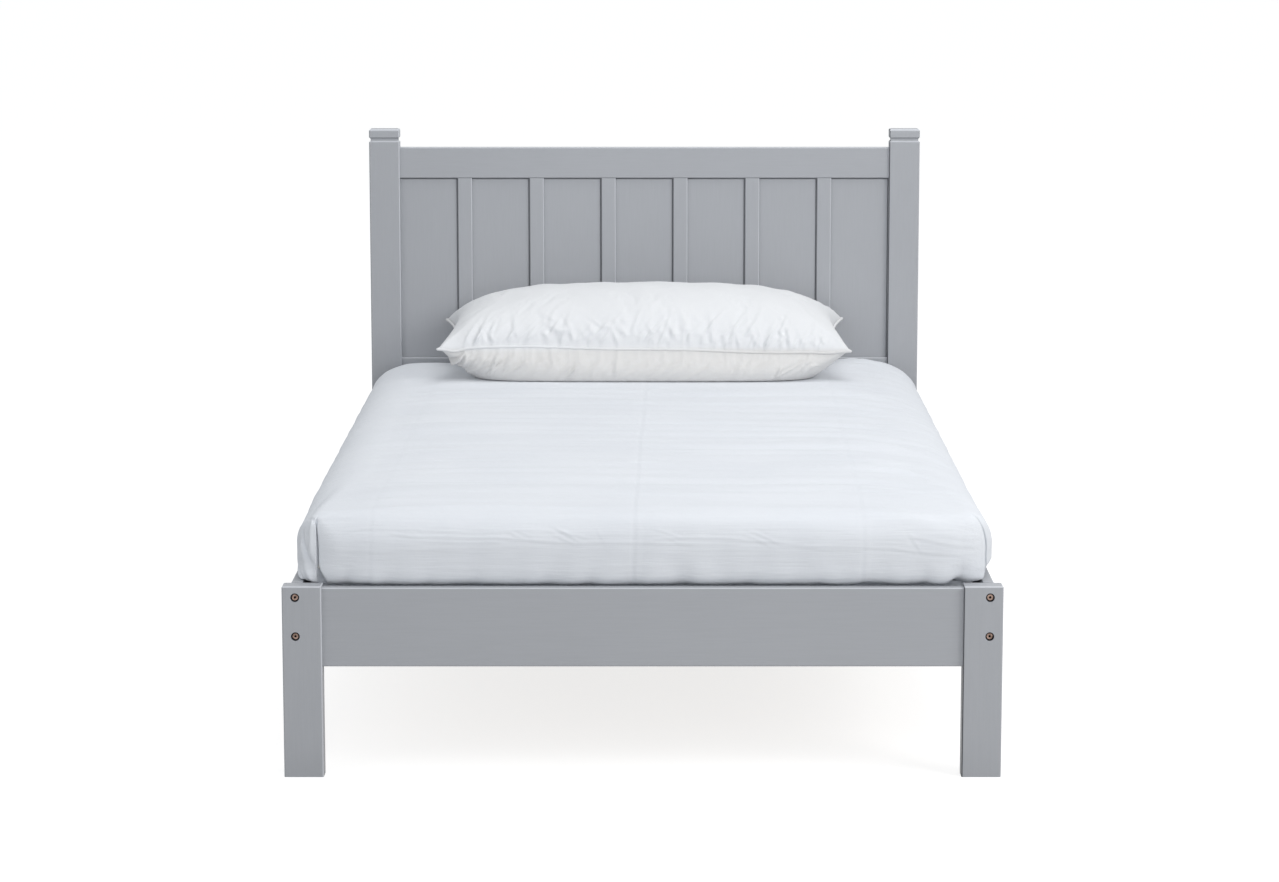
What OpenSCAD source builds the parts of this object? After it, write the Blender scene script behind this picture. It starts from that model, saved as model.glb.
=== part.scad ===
// Bed with a panelled headboard and a low foot end, a made-up mattress and a pillow.
// Millimetres. X runs across the bed, Y from the foot to the head, Z up from the floor.

/* [Overall] */
// Width over the posts
bed_w = 1270; // [1000:10:1600]
// Length over the posts
bed_l = 1970; // [1900:10:2150]
// Height of the headboard posts
head_h = 1000; // [900:10:1200]
// Height of the foot posts and of the tops of the side rails
foot_h = 345; // [335:5:380]

/* [Posts] */
// Width of a post, across the bed
post_w = 70; // [60:1:90]
// Depth of a post, along the bed
post_d = 35; // [32:1:45]
// Radius of the eased edges of a post
post_edge_r = 3; // [1:0.5:4]
// Radius of the eased edges of rails, muntins and slats
rail_edge_r = 2.5; // [0.5:0.5:3]
// Height of the cap above the middle of the groove of a headboard post
cap_h = 25; // [18:1:40]
// Width of the hollow groove under the cap
cap_groove_w = 11; // [5:0.5:13]
// Depth of that groove
cap_groove_depth = 3.6; // [2:0.1:4.5]
// Radius of the top edges of the cap
cap_edge_r = 6; // [3:0.5:8]

/* [Rails] */
// Thickness of every rail and muntin
rail_t = 20; // [18:0.5:24]
// Height of the top rail of the headboard
top_rail_h = 71; // [60:1:90]
// Drop from the post tops to the top rail
top_rail_drop = 43; // [35:1:60]
// Height of the rail under the panels
mid_rail_h = 71; // [55:1:90]
// Height above the floor of the foot of the panels
panel_foot_z = 467; // [450:1:500]
// Height of the foot rail and of the low rail of the headboard
low_rail_h = 142; // [130:1:155]
// Step from the foot posts down to the foot rail
low_rail_step = 4; // [0:1:8]
// Height of a side rail
side_rail_h = 115; // [105:1:130]
// Step from the outer face of a post in to a side rail
side_rail_step = 13.5; // [8:0.5:16]

/* [Panels] */
// Width of a muntin
muntin_w = 33; // [28:1:45]
// Thickness of a panel
panel_t = 6; // [4:0.5:9]
// Depth of the grooves that hold the panels
groove_depth = 10; // [7:0.5:11]
// Width of the quirk, a shadow line sunk into a panel's face along its right side and its top
quirk_w = 3; // [1.5:0.5:5]

/* [Joinery] */
// Thickness of the tenons
tenon_t = 12; // [9:0.5:14]
// Length of the tenons
tenon_l = 30; // [20:1:34]
// Shoulder above and below a tenon
tenon_shoulder = 13; // [11.5:0.5:16]
// Clearance on each side of a wooden joint
wood_fit = 0.2; // [0.1:0.05:0.3]
// Clearance round a bolt, a screw, a nut or a dowel
bore_fit = 0.2; // [0.1:0.05:0.3]

/* [Bolts] */
// Diameter of a frame bolt
bolt_d = 6; // [5:0.5:8]
// Length of a frame bolt under its head
bolt_l = 80; // [70:1:95]
// Diameter of the bolt head
bolt_head_d = 10.5; // [9:0.5:13]
// Height of the bolt head
bolt_head_h = 5; // [3:0.5:6]
// Width across the flats of the bolt's socket
socket_w = 4; // [3:0.5:5]
// Diameter of the counterbore round a bolt head
counterbore_d = 15; // [14:0.5:18]
// Depth of that counterbore
counterbore_depth = 8; // [6:0.5:12]
// Distance from the post top to the upper bolt
bolt_drop = 20; // [15:1:24]
// Distance between the two bolts of a corner
bolt_pitch = 70; // [60:1:74]
// Diameter of a barrel nut
nut_d = 10; // [9:0.5:12]
// Length of a barrel nut
nut_l = 17; // [14:0.5:17.5]
// Distance from the end of a side rail to its barrel nuts
nut_setback = 40; // [30:1:45]
// Diameter of a locating dowel
dowel_d = 8; // [6:0.5:10]
// Length of a locating dowel
dowel_l = 40; // [30:1:50]

/* [Slat deck] */
// Width of a slat
slat_w = 68; // [60:1:80]
// Thickness of a slat
slat_t = 15; // [12:0.5:18]
// Side of the square ledge that carries the slats
ledge_s = 25; // [22:0.5:28]
// Distance from a post to the end of a ledge
ledge_gap = 65; // [55:1:90]
// Play between a slat's end and the side rail
slat_play = 4; // [2:0.5:6]
// Diameter of a wood screw
screw_d = 4; // [3:0.5:4.5]
// Diameter of a wood screw's head
screw_head_d = 8; // [7:0.5:9]
// Height of a wood screw's head
screw_head_h = 3; // [2:0.5:4]
// Length of a slat screw
slat_screw_l = 35; // [30:1:37]
// Length of a ledge screw
ledge_screw_l = 40; // [35:1:42]

/* [Centre support] */
// Width of the centre rail
centre_rail_w = 34; // [28:1:50]
// Height of the centre rail
centre_rail_h = 50; // [45:1:55]
// Side of the square centre leg
leg_s = 45; // [38:1:60]
// Diameter of the leg's double-ended bolt
stud_d = 8; // [6:0.5:10]
// Length of that bolt
stud_l = 60; // [40:1:70]
// Thickness of the hanger's sheet steel
hanger_t = 2; // [1.5:0.1:3]
// Depth of the hanger's seat under the centre rail
hanger_depth = 45; // [35:1:60]
// Width of each hanger wing
wing_w = 22; // [20:1:30]
// Height of the hanger wings
wing_h = 60; // [56:1:70]
// Length of a hanger screw
hanger_screw_l = 16; // [12:0.5:17]

/* [Bedding] */
// Thickness of the mattress at its crown
mattress_t = 196; // [180:1:230]
// Gap from the made-up mattress to the rails and posts round it
bed_gap = 3.5; // [2.5:0.5:8]
// Distance that the mattress swells out over a side rail
side_swell = 28; // [10:1:32]
// Distance that the mattress swells out over the foot rail
foot_swell = 9; // [4:1:14]
// Width of the rounded top edge at the sides
edge_w = 112; // [60:1:130]
// Width of the rounded top edge at the foot
foot_edge_w = 46; // [30:1:120]
// Height of the rounded top edge
edge_h = 62; // [40:1:70]
// Rise of the crown above the rounded edge
crown = 5; // [2:0.5:8]
// Thickness of the sheet
sheet_t = 1.5; // [1:0.1:2]
// Width that the sheet is tucked under the mattress
tuck_w = 140; // [60:1:200]
// Thickness of the folded cloth at the foot corners
pleat_t = 7; // [3:0.5:9]
// Width of the pillow from tip to tip
pillow_w = 912; // [700:1:930]
// Depth of the pillow from seam to seam
pillow_d = 344; // [300:1:420]
// Height of the pillow's crown above the sheet
pillow_h = 202; // [120:1:230]
// Height of the front seam above the sheet
seam_front = 76; // [40:1:90]
// Height of the back seam above the sheet
seam_back = 98; // [50:1:110]
// Distance that the pillow's short sides are drawn in
waist_side = 30; // [10:1:40]
// Distance that the pillow's long sides are drawn in
waist_long = 14; // [4:1:25]
// Gap from the pillow to the rails of the headboard
pillow_gap = 14; // [8:1:40]

/* [Hidden] */
// Panels across the headboard and slats along the bed, as the node names below list them
FIELDS = 7;
SLATS = 13;
// Gap between pieces that rest on each other without touching
SEAT = 0.3;
// Length by which a cutter runs past the face that it opens
PAST = 1;
// Gap between a panel's edge and the bottom of its groove
GROOVE_PLAY = 1;
// Segments of a full circle, of a soft corner and of a soft top edge
ROUND = 48;
CORNER_STEPS = 8;
EDGE_STEPS = 5;
// Radius of the mattress's lower edge and height over which its side swells out
UNDER_R = 16;
SWELL_RISE = 28;
// Where round a foot corner the pleat's lip lies, from the side at 0 to the foot at 1,
// and how fast the pleat thins out behind it
PLEAT_AT = 5 / 8;
PLEAT_FADE = 1.5;
// Columns and rows of the pillow's faces, and how far it would sink in if the bed let it
PILLOW_U = 24;
PILLOW_V = 14;
SINK = 1.8;

POST_NODES = ["head_post_left", "head_post_right", "foot_post_left", "foot_post_right"];
RAIL_NODES = ["head_top_rail", "head_mid_rail", "head_low_rail", "foot_rail",
    "side_rail_left", "side_rail_right"];
MUNTIN_NODES = ["muntin_1", "muntin_2", "muntin_3", "muntin_4", "muntin_5", "muntin_6"];
PANEL_NODES = ["head_panel_1", "head_panel_2", "head_panel_3", "head_panel_4", "head_panel_5",
    "head_panel_6", "head_panel_7"];
SLAT_NODES = ["slat_01", "slat_02", "slat_03", "slat_04", "slat_05", "slat_06", "slat_07",
    "slat_08", "slat_09", "slat_10", "slat_11", "slat_12", "slat_13"];
DECK_NODES = ["ledge_left", "ledge_right", "centre_rail", "centre_leg", "hanger_foot", "hanger_head"];
FIXING_NODES = ["frame_bolts", "barrel_nuts", "locating_dowels", "ledge_screws", "slat_screws",
    "hanger_screws", "leg_stud"];
BEDDING_NODES = ["mattress", "sheet", "pillow"];

half_w = bed_w / 2;
half_l = bed_l / 2;
post_x = half_w - post_w / 2;
post_y = half_l - post_d / 2;
inner_x = half_w - post_w;
inner_y = half_l - post_d;
rail_face_y = post_y - rail_t / 2;

top_rail_z = head_h - top_rail_drop - top_rail_h;
mid_rail_z = panel_foot_z - mid_rail_h;
low_rail_z = foot_h - low_rail_step - low_rail_h;
side_rail_z = foot_h - side_rail_h;

side_rail_out = half_w - side_rail_step;
side_rail_in = side_rail_out - rail_t;
side_rail_x = side_rail_out - rail_t / 2;

field_w = (2 * inner_x - (FIELDS - 1) * muntin_w) / FIELDS;
field_pitch = field_w + muntin_w;
tongue = groove_depth - GROOVE_PLAY;
groove_t = panel_t + 2 * wood_fit;
quirk_depth = panel_t / 2;

// The groove under the cap is a circle's arc of this radius
cap_groove_r = (pow(cap_groove_w / 2, 2) + pow(cap_groove_depth, 2)) / (2 * cap_groove_depth);

bolt_z = [foot_h - bolt_drop, foot_h - bolt_drop - bolt_pitch];
dowel_z = foot_h - bolt_drop - bolt_pitch / 2;
bolt_seat_y = half_l - counterbore_depth;
dowel_in_post = post_d / 2;
nut_y = inner_y - nut_setback;

ledge_z = side_rail_z;
ledge_top = ledge_z + ledge_s;
ledge_l = 2 * (inner_y - ledge_gap);
ledge_x = side_rail_in - ledge_s / 2;
slat_end = side_rail_in - slat_play;
slat_top = ledge_top + slat_t;
slat_pitch = (ledge_l - slat_w) / (SLATS - 1);

centre_rail_z = ledge_top - centre_rail_h;
centre_rail_end = rail_face_y - hanger_t - SEAT;
hanger_in = centre_rail_w / 2 + SEAT;
hanger_out = hanger_in + hanger_t;
wing_x = hanger_out + wing_w / 2;
hanger_screw_z = [centre_rail_z + wing_h / 4, centre_rail_z + 3 * wing_h / 4];

// Helpers: mirrored copies, shapes laid along an axis and eased outlines

module left_side() {
    mirror([1, 0, 0]) children();
}

module foot_end() {
    mirror([0, 1, 0]) children();
}

module at_four_corners() {
    for (x = [0, 1], y = [0, 1])
        mirror([x, 0, 0]) mirror([0, y, 0]) children();
}

module rod_x(d, x0, x1, y, z) {
    translate([x0, y, z]) rotate([0, 90, 0]) cylinder(d = d, h = x1 - x0, $fn = ROUND);
}

module rod_y(d, x, y0, y1, z) {
    translate([x, y0, z]) rotate([-90, 0, 0]) cylinder(d = d, h = y1 - y0, $fn = ROUND);
}

module rod_z(d, x, y, z0, z1) {
    translate([x, y, z0]) cylinder(d = d, h = z1 - z0, $fn = ROUND);
}

// Bar with eased edges along X, from x0 to x1, of thickness t and height h
module bar_x(x0, x1, y, z, t, h) {
    translate([x0, y, z + h / 2]) rotate([90, 0, 90]) linear_extrude(x1 - x0) eased_rect(t, h, rail_edge_r);
}

// Bar with eased edges along Y, from y0 to y1, of thickness t and height h
module bar_y(x, y0, y1, z, t, h) {
    translate([x, y1, z + h / 2]) rotate([90, 0, 0]) linear_extrude(y1 - y0) eased_rect(t, h, rail_edge_r);
}

module block(x0, x1, y0, y1, z0, z1) {
    translate([x0, y0, z0]) cube([x1 - x0, y1 - y0, z1 - z0]);
}

module eased_rect(w, d, r) {
    square([w - 2 * r, d], center = true);
    square([w, d - 2 * r], center = true);
    for (x = [-1, 1], y = [-1, 1])
        translate([x * (w / 2 - r), y * (d / 2 - r)]) circle(r = r, $fn = ROUND);
}

// Elevation of a post of width w and height h with top corners of radius r
module post_outline(w, h, r) {
    translate([-w / 2, 0]) square([w, h - r]);
    translate([-w / 2 + r, 0]) square([w - 2 * r, h]);
    for (s = [-1, 1])
        translate([s * (w / 2 - r), h - r]) circle(r = r, $fn = ROUND);
}

module capped_outline(w) {
    difference() {
        post_outline(w, head_h, cap_edge_r);
        for (s = [-1, 1])
            translate([s * (w / 2 + cap_groove_r - cap_groove_depth), head_h - cap_h])
                circle(r = cap_groove_r, $fn = ROUND);
    }
}

// Countersunk wood screw pointing down from its head at the origin
module screw(l, extra = 0) {
    d = screw_d + extra;
    head_d = screw_head_d + extra;
    translate([0, 0, -l - extra]) cylinder(d = d, h = l + extra, $fn = ROUND);
    translate([0, 0, -screw_head_h]) cylinder(d1 = d, d2 = head_d, h = screw_head_h, $fn = ROUND);
}

// Posts

module head_post_blank() {
    intersection() {
        linear_extrude(head_h) eased_rect(post_w, post_d, post_edge_r);
        rotate([90, 0, 0]) linear_extrude(post_d + PAST, center = true) capped_outline(post_w);
        rotate([90, 0, 90]) linear_extrude(post_w + PAST, center = true) capped_outline(post_d);
    }
}

module foot_post_blank() {
    intersection() {
        linear_extrude(foot_h) eased_rect(post_w, post_d, post_edge_r);
        rotate([90, 0, 0])
            linear_extrude(post_d + PAST, center = true)
                post_outline(post_w, foot_h, post_edge_r);
        rotate([90, 0, 90])
            linear_extrude(post_w + PAST, center = true)
                post_outline(post_d, foot_h, post_edge_r);
    }
}

// Bores of the side rail joint at the right head corner, through post and rail
module corner_bores() {
    for (z = bolt_z) {
        rod_y(counterbore_d, side_rail_x, bolt_seat_y, half_l + PAST, z);
        rod_y(bolt_d + 2 * bore_fit, side_rail_x, bolt_seat_y - bolt_l - PAST, half_l, z);
    }
    rod_y(dowel_d + 2 * bore_fit, side_rail_x, inner_y + dowel_in_post - dowel_l - SEAT,
        inner_y + dowel_in_post + SEAT, dowel_z);
}

module mortise(z, h) {
    block(inner_x - PAST, inner_x + tenon_l + SEAT, post_y - tenon_t / 2 - wood_fit,
        post_y + tenon_t / 2 + wood_fit, z + tenon_shoulder - wood_fit, z + h - tenon_shoulder + wood_fit);
}

module head_post() {
    color("slategray") difference() {
        translate([post_x, post_y, 0]) head_post_blank();
        corner_bores();
        mortise(top_rail_z, top_rail_h);
        mortise(mid_rail_z, mid_rail_h);
        mortise(low_rail_z, low_rail_h);
        block(inner_x - PAST, inner_x + groove_depth, post_y - groove_t / 2, post_y + groove_t / 2,
            panel_foot_z - groove_depth, top_rail_z + groove_depth);
    }
}

module foot_post() {
    color("slategray") difference() {
        translate([post_x, post_y, 0]) foot_post_blank();
        corner_bores();
        mortise(low_rail_z, low_rail_h);
    }
}

// Rails

module cross_rail(z, h) {
    bar_x(-inner_x, inner_x, post_y, z, rail_t, h);
    block(-inner_x - tenon_l, inner_x + tenon_l, post_y - tenon_t / 2, post_y + tenon_t / 2,
        z + tenon_shoulder, z + h - tenon_shoulder);
}

module panel_groove(z0, z1) {
    block(-inner_x - PAST, inner_x + PAST, post_y - groove_t / 2, post_y + groove_t / 2, z0, z1);
}

module head_top_rail() {
    color("slategray") difference() {
        cross_rail(top_rail_z, top_rail_h);
        panel_groove(top_rail_z - PAST, top_rail_z + groove_depth);
    }
}

module head_mid_rail() {
    color("slategray") difference() {
        cross_rail(mid_rail_z, mid_rail_h);
        panel_groove(panel_foot_z - groove_depth, panel_foot_z + PAST);
    }
}

module low_rail() {
    color("slategray") difference() {
        cross_rail(low_rail_z, low_rail_h);
        hanger_screw_places() screw(hanger_screw_l, 2 * bore_fit);
    }
}

module side_rail() {
    color("slategray") difference() {
        bar_y(side_rail_x, -inner_y, inner_y, side_rail_z, rail_t, side_rail_h);
        corner_bores();
        foot_end() corner_bores();
        for (s = [-1, 1], z = bolt_z)
            rod_x(nut_d + 2 * bore_fit, side_rail_in - PAST, side_rail_in + nut_l + SEAT, s * nut_y, z);
        ledge_screw_places() screw(ledge_screw_l, 2 * bore_fit);
    }
}

// Panels and muntins of the headboard

module muntin(i) {
    x = -inner_x + i * field_pitch - muntin_w / 2;
    z0 = panel_foot_z;
    z1 = top_rail_z;
    color("slategray") translate([x, post_y, 0]) difference() {
        union() {
            translate([0, 0, z0]) linear_extrude(z1 - z0) eased_rect(muntin_w, rail_t, rail_edge_r);
            block(-muntin_w / 2, muntin_w / 2, -panel_t / 2, panel_t / 2, z0 - tongue, z1 + tongue);
        }
        for (s = [0, 1])
            mirror([s, 0, 0]) block(muntin_w / 2 - groove_depth, muntin_w, -groove_t / 2, groove_t / 2,
                z0 - groove_depth, z1 + groove_depth);
    }
}

// Elevation of the quirk, an angle along the right side and the top, which runs out at the foot
module quirk_outline() {
    h = top_rail_z - panel_foot_z + groove_depth;
    difference() {
        square([field_w, h]);
        translate([-PAST, -PAST]) square([field_w + PAST - quirk_w, h + PAST - quirk_w]);
    }
}

module head_panel(i) {
    x = -inner_x + (i - 1) * field_pitch;
    front = post_y - panel_t / 2;
    color("lightslategray") difference() {
        block(x - tongue, x + field_w + tongue, front, front + panel_t,
            panel_foot_z - tongue, top_rail_z + tongue);
        translate([x, front + quirk_depth, panel_foot_z - groove_depth])
            rotate([90, 0, 0]) linear_extrude(quirk_depth + PAST) quirk_outline();
    }
}

// Slat deck

function slat_y(i) = (i - (SLATS + 1) / 2) * slat_pitch;

// Screw heads on the right ledge, between the slats and pointing out into the side rail
module ledge_screw_places() {
    for (i = [1:2:SLATS - 1])
        translate([side_rail_in - ledge_s, slat_y(i) + slat_pitch / 2, ledge_z + ledge_s / 2])
            rotate([0, -90, 0]) children();
}

module slat_screw_places() {
    for (i = [1:SLATS])
        translate([ledge_x, slat_y(i), slat_top]) children();
}

// Screw heads on the inner faces of the wings of the head hanger
module hanger_screw_places() {
    for (x = [-wing_x, wing_x], z = hanger_screw_z)
        translate([x, rail_face_y - hanger_t, z]) rotate([90, 0, 0]) children();
}

module ledge() {
    color("burlywood") difference() {
        bar_y(ledge_x, -ledge_l / 2, ledge_l / 2, ledge_z, ledge_s, ledge_s);
        ledge_screw_places() screw(ledge_screw_l, 2 * bore_fit);
        slat_screw_places() screw(slat_screw_l, 2 * bore_fit);
    }
}

module slat(i) {
    color("wheat") difference() {
        bar_x(-slat_end, slat_end, slat_y(i), ledge_top, slat_w, slat_t);
        slat_screw_places() screw(slat_screw_l, 2 * bore_fit);
        left_side() slat_screw_places() screw(slat_screw_l, 2 * bore_fit);
    }
}

module centre_rail() {
    color("burlywood") difference() {
        bar_y(0, -centre_rail_end, centre_rail_end, centre_rail_z, centre_rail_w, centre_rail_h);
        rod_z(stud_d + 2 * bore_fit, 0, 0, centre_rail_z - PAST, centre_rail_z + stud_l / 2 + SEAT);
    }
}

module centre_leg() {
    color("burlywood") difference() {
        linear_extrude(centre_rail_z) eased_rect(leg_s, leg_s, post_edge_r);
        rod_z(stud_d + 2 * bore_fit, 0, 0, centre_rail_z - stud_l / 2 - SEAT, centre_rail_z + PAST);
    }
}

// Folded steel seat for the centre rail at the head end
module hanger() {
    y0 = rail_face_y - hanger_depth;
    seat_z = centre_rail_z - SEAT;
    color("silver") difference() {
        union() {
            for (s = [0, 1])
                mirror([s, 0, 0]) {
                    block(hanger_in, hanger_out, y0, rail_face_y, seat_z - hanger_t, ledge_top - SEAT);
                    block(hanger_in, hanger_out + wing_w, rail_face_y - hanger_t, rail_face_y,
                        centre_rail_z, centre_rail_z + wing_h);
                }
            block(-hanger_out, hanger_out, y0, rail_face_y, seat_z - hanger_t, seat_z);
        }
        hanger_screw_places() screw(hanger_screw_l, 2 * bore_fit);
    }
}

// Fixings

module frame_bolt(z) {
    difference() {
        union() {
            rod_y(bolt_head_d, side_rail_x, bolt_seat_y, bolt_seat_y + bolt_head_h, z);
            rod_y(bolt_d, side_rail_x, bolt_seat_y - bolt_l, bolt_seat_y, z);
        }
        translate([side_rail_x, bolt_seat_y + bolt_head_h / 3, z]) rotate([-90, 0, 0])
            cylinder(d = socket_w / cos(30), h = bolt_head_h, $fn = 6);
    }
}

module frame_bolts() {
    color("rosybrown") at_four_corners()
        for (z = bolt_z) frame_bolt(z);
}

module barrel_nut(z) {
    difference() {
        rod_x(nut_d, side_rail_in, side_rail_in + nut_l, nut_y, z);
        rod_y(bolt_d + 2 * bore_fit, side_rail_x, nut_y - nut_d, nut_y + nut_d, z);
    }
}

module barrel_nuts() {
    color("silver") at_four_corners()
        for (z = bolt_z) barrel_nut(z);
}

module locating_dowels() {
    color("burlywood") at_four_corners()
        rod_y(dowel_d, side_rail_x, inner_y + dowel_in_post - dowel_l, inner_y + dowel_in_post, dowel_z);
}

module ledge_screws() {
    color("gold") for (s = [0, 1])
        mirror([s, 0, 0]) ledge_screw_places() screw(ledge_screw_l);
}

module slat_screws() {
    color("gold") for (s = [0, 1])
        mirror([s, 0, 0]) slat_screw_places() screw(slat_screw_l);
}

module hanger_screws() {
    color("gold") for (s = [0, 1])
        mirror([0, s, 0]) hanger_screw_places() screw(hanger_screw_l);
}

module leg_stud() {
    color("silver") rod_z(stud_d, 0, 0, centre_rail_z - stud_l / 2, centre_rail_z + stud_l / 2);
}

// Soft forms: rings of points stacked into closed triangle meshes

cloth = sheet_t + SEAT;
mattress_z = slat_top + SEAT + cloth;
mattress_x = side_rail_in - bed_gap - cloth;
mattress_foot = bed_gap + cloth - rail_face_y;
mattress_head = inner_y - bed_gap - cloth;
mattress_mid = (mattress_foot + mattress_head) / 2;
swell_start = foot_h + SEAT - mattress_z;
pillow_z = mattress_z + mattress_t + cloth + SEAT;
pillow_y = rail_face_y - pillow_gap - pillow_d / 2;
seam_mid = (seam_front + seam_back) / 2;

// Corner radius that keeps the bedding a gap away from the inner edge of a post
past_x = side_rail_in - bed_gap - inner_x;
past_y = rail_face_y - bed_gap - inner_y;
past = past_x + past_y + bed_gap;
corner_r = past + sqrt(past * past - past_x * past_x - past_y * past_y + bed_gap * bed_gap);

// Share of the pleat's thickness round a foot corner: a lip that thins out round the side
function pleat_share(t) = t > PLEAT_AT ? 0 : pow(t / PLEAT_AT, PLEAT_FADE);
function pleat(corner, t) = corner == 2 ? pleat_share(t) : corner == 3 ? pleat_share(1 - t) : 0;

// Plan ring with rounded corners, from the right side round by the head, the left and the foot
function ring(x, y0, y1, r, z, fold) = [
    for (c = [0:3]) for (k = [0:CORNER_STEPS])
        let (
            a = (c + k / CORNER_STEPS) * 90,
            sx = (c == 0 || c == 3) ? 1 : -1,
            yc = c < 2 ? y1 - r : y0 + r,
            out = r + fold * pleat(c, k / CORNER_STEPS)
        )
        [sx * (x - r) + out * cos(a), yc + out * sin(a), z]
];

// Stations up the mattress: [inset at the sides, inset at the foot, height, share of the pleat]
function stations() = concat(
    [for (a = [0:45:90])
        let (in = UNDER_R * (1 - sin(a)))
        [side_swell + in, foot_swell + in, UNDER_R * (1 - cos(a)), 0]],
    [for (a = [0:30:90])
        let (in = 1 - sin(a))
        [side_swell * in, foot_swell * in, swell_start + SWELL_RISE * (1 - cos(a)), a / 90]],
    [for (k = [0:EDGE_STEPS]) let (a = k * 90 / EDGE_STEPS)
        let (in = 1 - cos(a))
        [edge_w * in, foot_edge_w * in, mattress_t - crown - edge_h * (1 - sin(a)), cos(a)]],
    [[2 * edge_w, 2 * foot_edge_w, mattress_t, 0]]
);

// Ring at a station, let out by t, with the pleat standing out by fold
function soft_ring(s, t, fold) =
    ring(
        mattress_x + side_swell - s[0] + t,
        mattress_foot - foot_swell + s[1] - t,
        mattress_head - max(s[0] - side_swell, 0) + t,
        max(corner_r + side_swell - s[0] + t, rail_t),
        mattress_z + s[2] + (s[2] < UNDER_R ? -t : s[2] > mattress_t / 2 ? t : 0),
        fold * s[3]
    );

// Closes a stack of equal rings with a fan at each end
module loft(rings, first, last) {
    n = len(rings[0]);
    m = len(rings);
    walls = [for (i = [0:m - 2]) for (k = [0:n - 1])
        let (a = i * n + k, b = i * n + (k + 1) % n)
        each [[a, a + n, b], [b, a + n, b + n]]];
    ends = [for (k = [0:n - 1])
        let (j = (k + 1) % n)
        each [[m * n, k, j], [m * n + 1, (m - 1) * n + j, (m - 1) * n + k]]];
    polyhedron(points = concat([for (r = rings) each r], [first, last]), faces = concat(walls, ends));
}

module mattress() {
    color("ivory") loft([for (s = stations()) soft_ring(s, 0, 0)],
        [0, mattress_mid, mattress_z], [0, mattress_mid, mattress_z + mattress_t]);
}

// Tucked sheet: a skin over the mattress with its rim under it and a pleat at each foot corner
module sheet() {
    up = concat([[side_swell + tuck_w, foot_swell + tuck_w, 0, 0]], stations());
    last = len(up) - 1;
    inner = [for (k = [0:last]) soft_ring(up[last - k], SEAT, 0)];
    outer = [for (s = up) soft_ring(s, cloth, pleat_t)];
    top_z = mattress_z + mattress_t;
    color("white") loft(concat(inner, outer),
        [0, mattress_mid, top_z + SEAT], [0, mattress_mid, top_z + cloth]);
}

// Point of the pillow at column i and row j, on its upper or its lower face
function pillow_point(i, j, upper) =
    let (
        u = -cos(180 * i / PILLOW_U),
        v = -cos(180 * j / PILLOW_V),
        seam = seam_mid + v * (seam_back - seam_front) / 2,
        fill = sqrt(max(0, (1 - pow(abs(u), 3)) * (1 - v * v)))
    )
    [
        u * (pillow_w / 2 - waist_side * (1 - v * v)),
        pillow_y + v * (pillow_d / 2 - waist_long * (1 - u * u)),
        pillow_z + (upper ? seam + (pillow_h - seam_mid) * fill : max(0, seam * (1 - SINK * fill)))
    ];

// Triangles of the grid cell with the corners a to d, split so that each has a point off the seam
function halves(i, j, a, b, c, d) =
    (i < PILLOW_U / 2) == (j < PILLOW_V / 2) ? [[a, c, b], [a, d, c]] : [[a, d, b], [b, d, c]];

// The upper face is a full grid, and the lower face shares its border
module pillow() {
    row = PILLOW_U + 1;
    top_count = row * (PILLOW_V + 1);
    top = [for (j = [0:PILLOW_V]) for (i = [0:PILLOW_U]) pillow_point(i, j, true)];
    low = [for (j = [1:PILLOW_V - 1]) for (i = [1:PILLOW_U - 1]) pillow_point(i, j, false)];
    function top_at(i, j) = j * row + i;
    function low_at(i, j) =
        i == 0 || j == 0 || i == PILLOW_U || j == PILLOW_V
            ? top_at(i, j)
            : top_count + (j - 1) * (PILLOW_U - 1) + i - 1;
    upper_faces = [for (j = [0:PILLOW_V - 1]) for (i = [0:PILLOW_U - 1])
        each halves(i, j, top_at(i, j), top_at(i + 1, j), top_at(i + 1, j + 1), top_at(i, j + 1))];
    lower_faces = [for (j = [0:PILLOW_V - 1]) for (i = [0:PILLOW_U - 1])
        for (f = halves(i, j, low_at(i, j), low_at(i + 1, j), low_at(i + 1, j + 1), low_at(i, j + 1)))
        [f[0], f[2], f[1]]];
    color("white") polyhedron(points = concat(top, low), faces = concat(upper_faces, lower_faces));
}

left_side() head_post();  // head_post_left
head_post();  // head_post_right
foot_end() left_side() foot_post();  // foot_post_left
foot_end() foot_post();  // foot_post_right
head_top_rail();
head_mid_rail();
low_rail();  // head_low_rail
foot_end() low_rail();  // foot_rail
left_side() side_rail();  // side_rail_left
side_rail();  // side_rail_right
muntin(1);  // muntin_1
muntin(2);  // muntin_2
muntin(3);  // muntin_3
muntin(4);  // muntin_4
muntin(5);  // muntin_5
muntin(6);  // muntin_6
head_panel(1);  // head_panel_1
head_panel(2);  // head_panel_2
head_panel(3);  // head_panel_3
head_panel(4);  // head_panel_4
head_panel(5);  // head_panel_5
head_panel(6);  // head_panel_6
head_panel(7);  // head_panel_7
slat(1);  // slat_01
slat(2);  // slat_02
slat(3);  // slat_03
slat(4);  // slat_04
slat(5);  // slat_05
slat(6);  // slat_06
slat(7);  // slat_07
slat(8);  // slat_08
slat(9);  // slat_09
slat(10);  // slat_10
slat(11);  // slat_11
slat(12);  // slat_12
slat(13);  // slat_13
left_side() ledge();  // ledge_left
ledge();  // ledge_right
centre_rail();
centre_leg();
foot_end() hanger();  // hanger_foot
hanger();  // hanger_head
frame_bolts();
barrel_nuts();
locating_dowels();
ledge_screws();
slat_screws();
hanger_screws();
leg_stud();
mattress();
sheet();
pillow();
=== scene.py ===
"""A made-up bed with a painted, panelled headboard and a low foot end.

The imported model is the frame. Its wooden and metal solids stay and get their finishes here. The mattress,
the tucked sheet and the pillow are made here as soft forms, which stand for their solids. Lengths are in
metres.
"""

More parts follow.
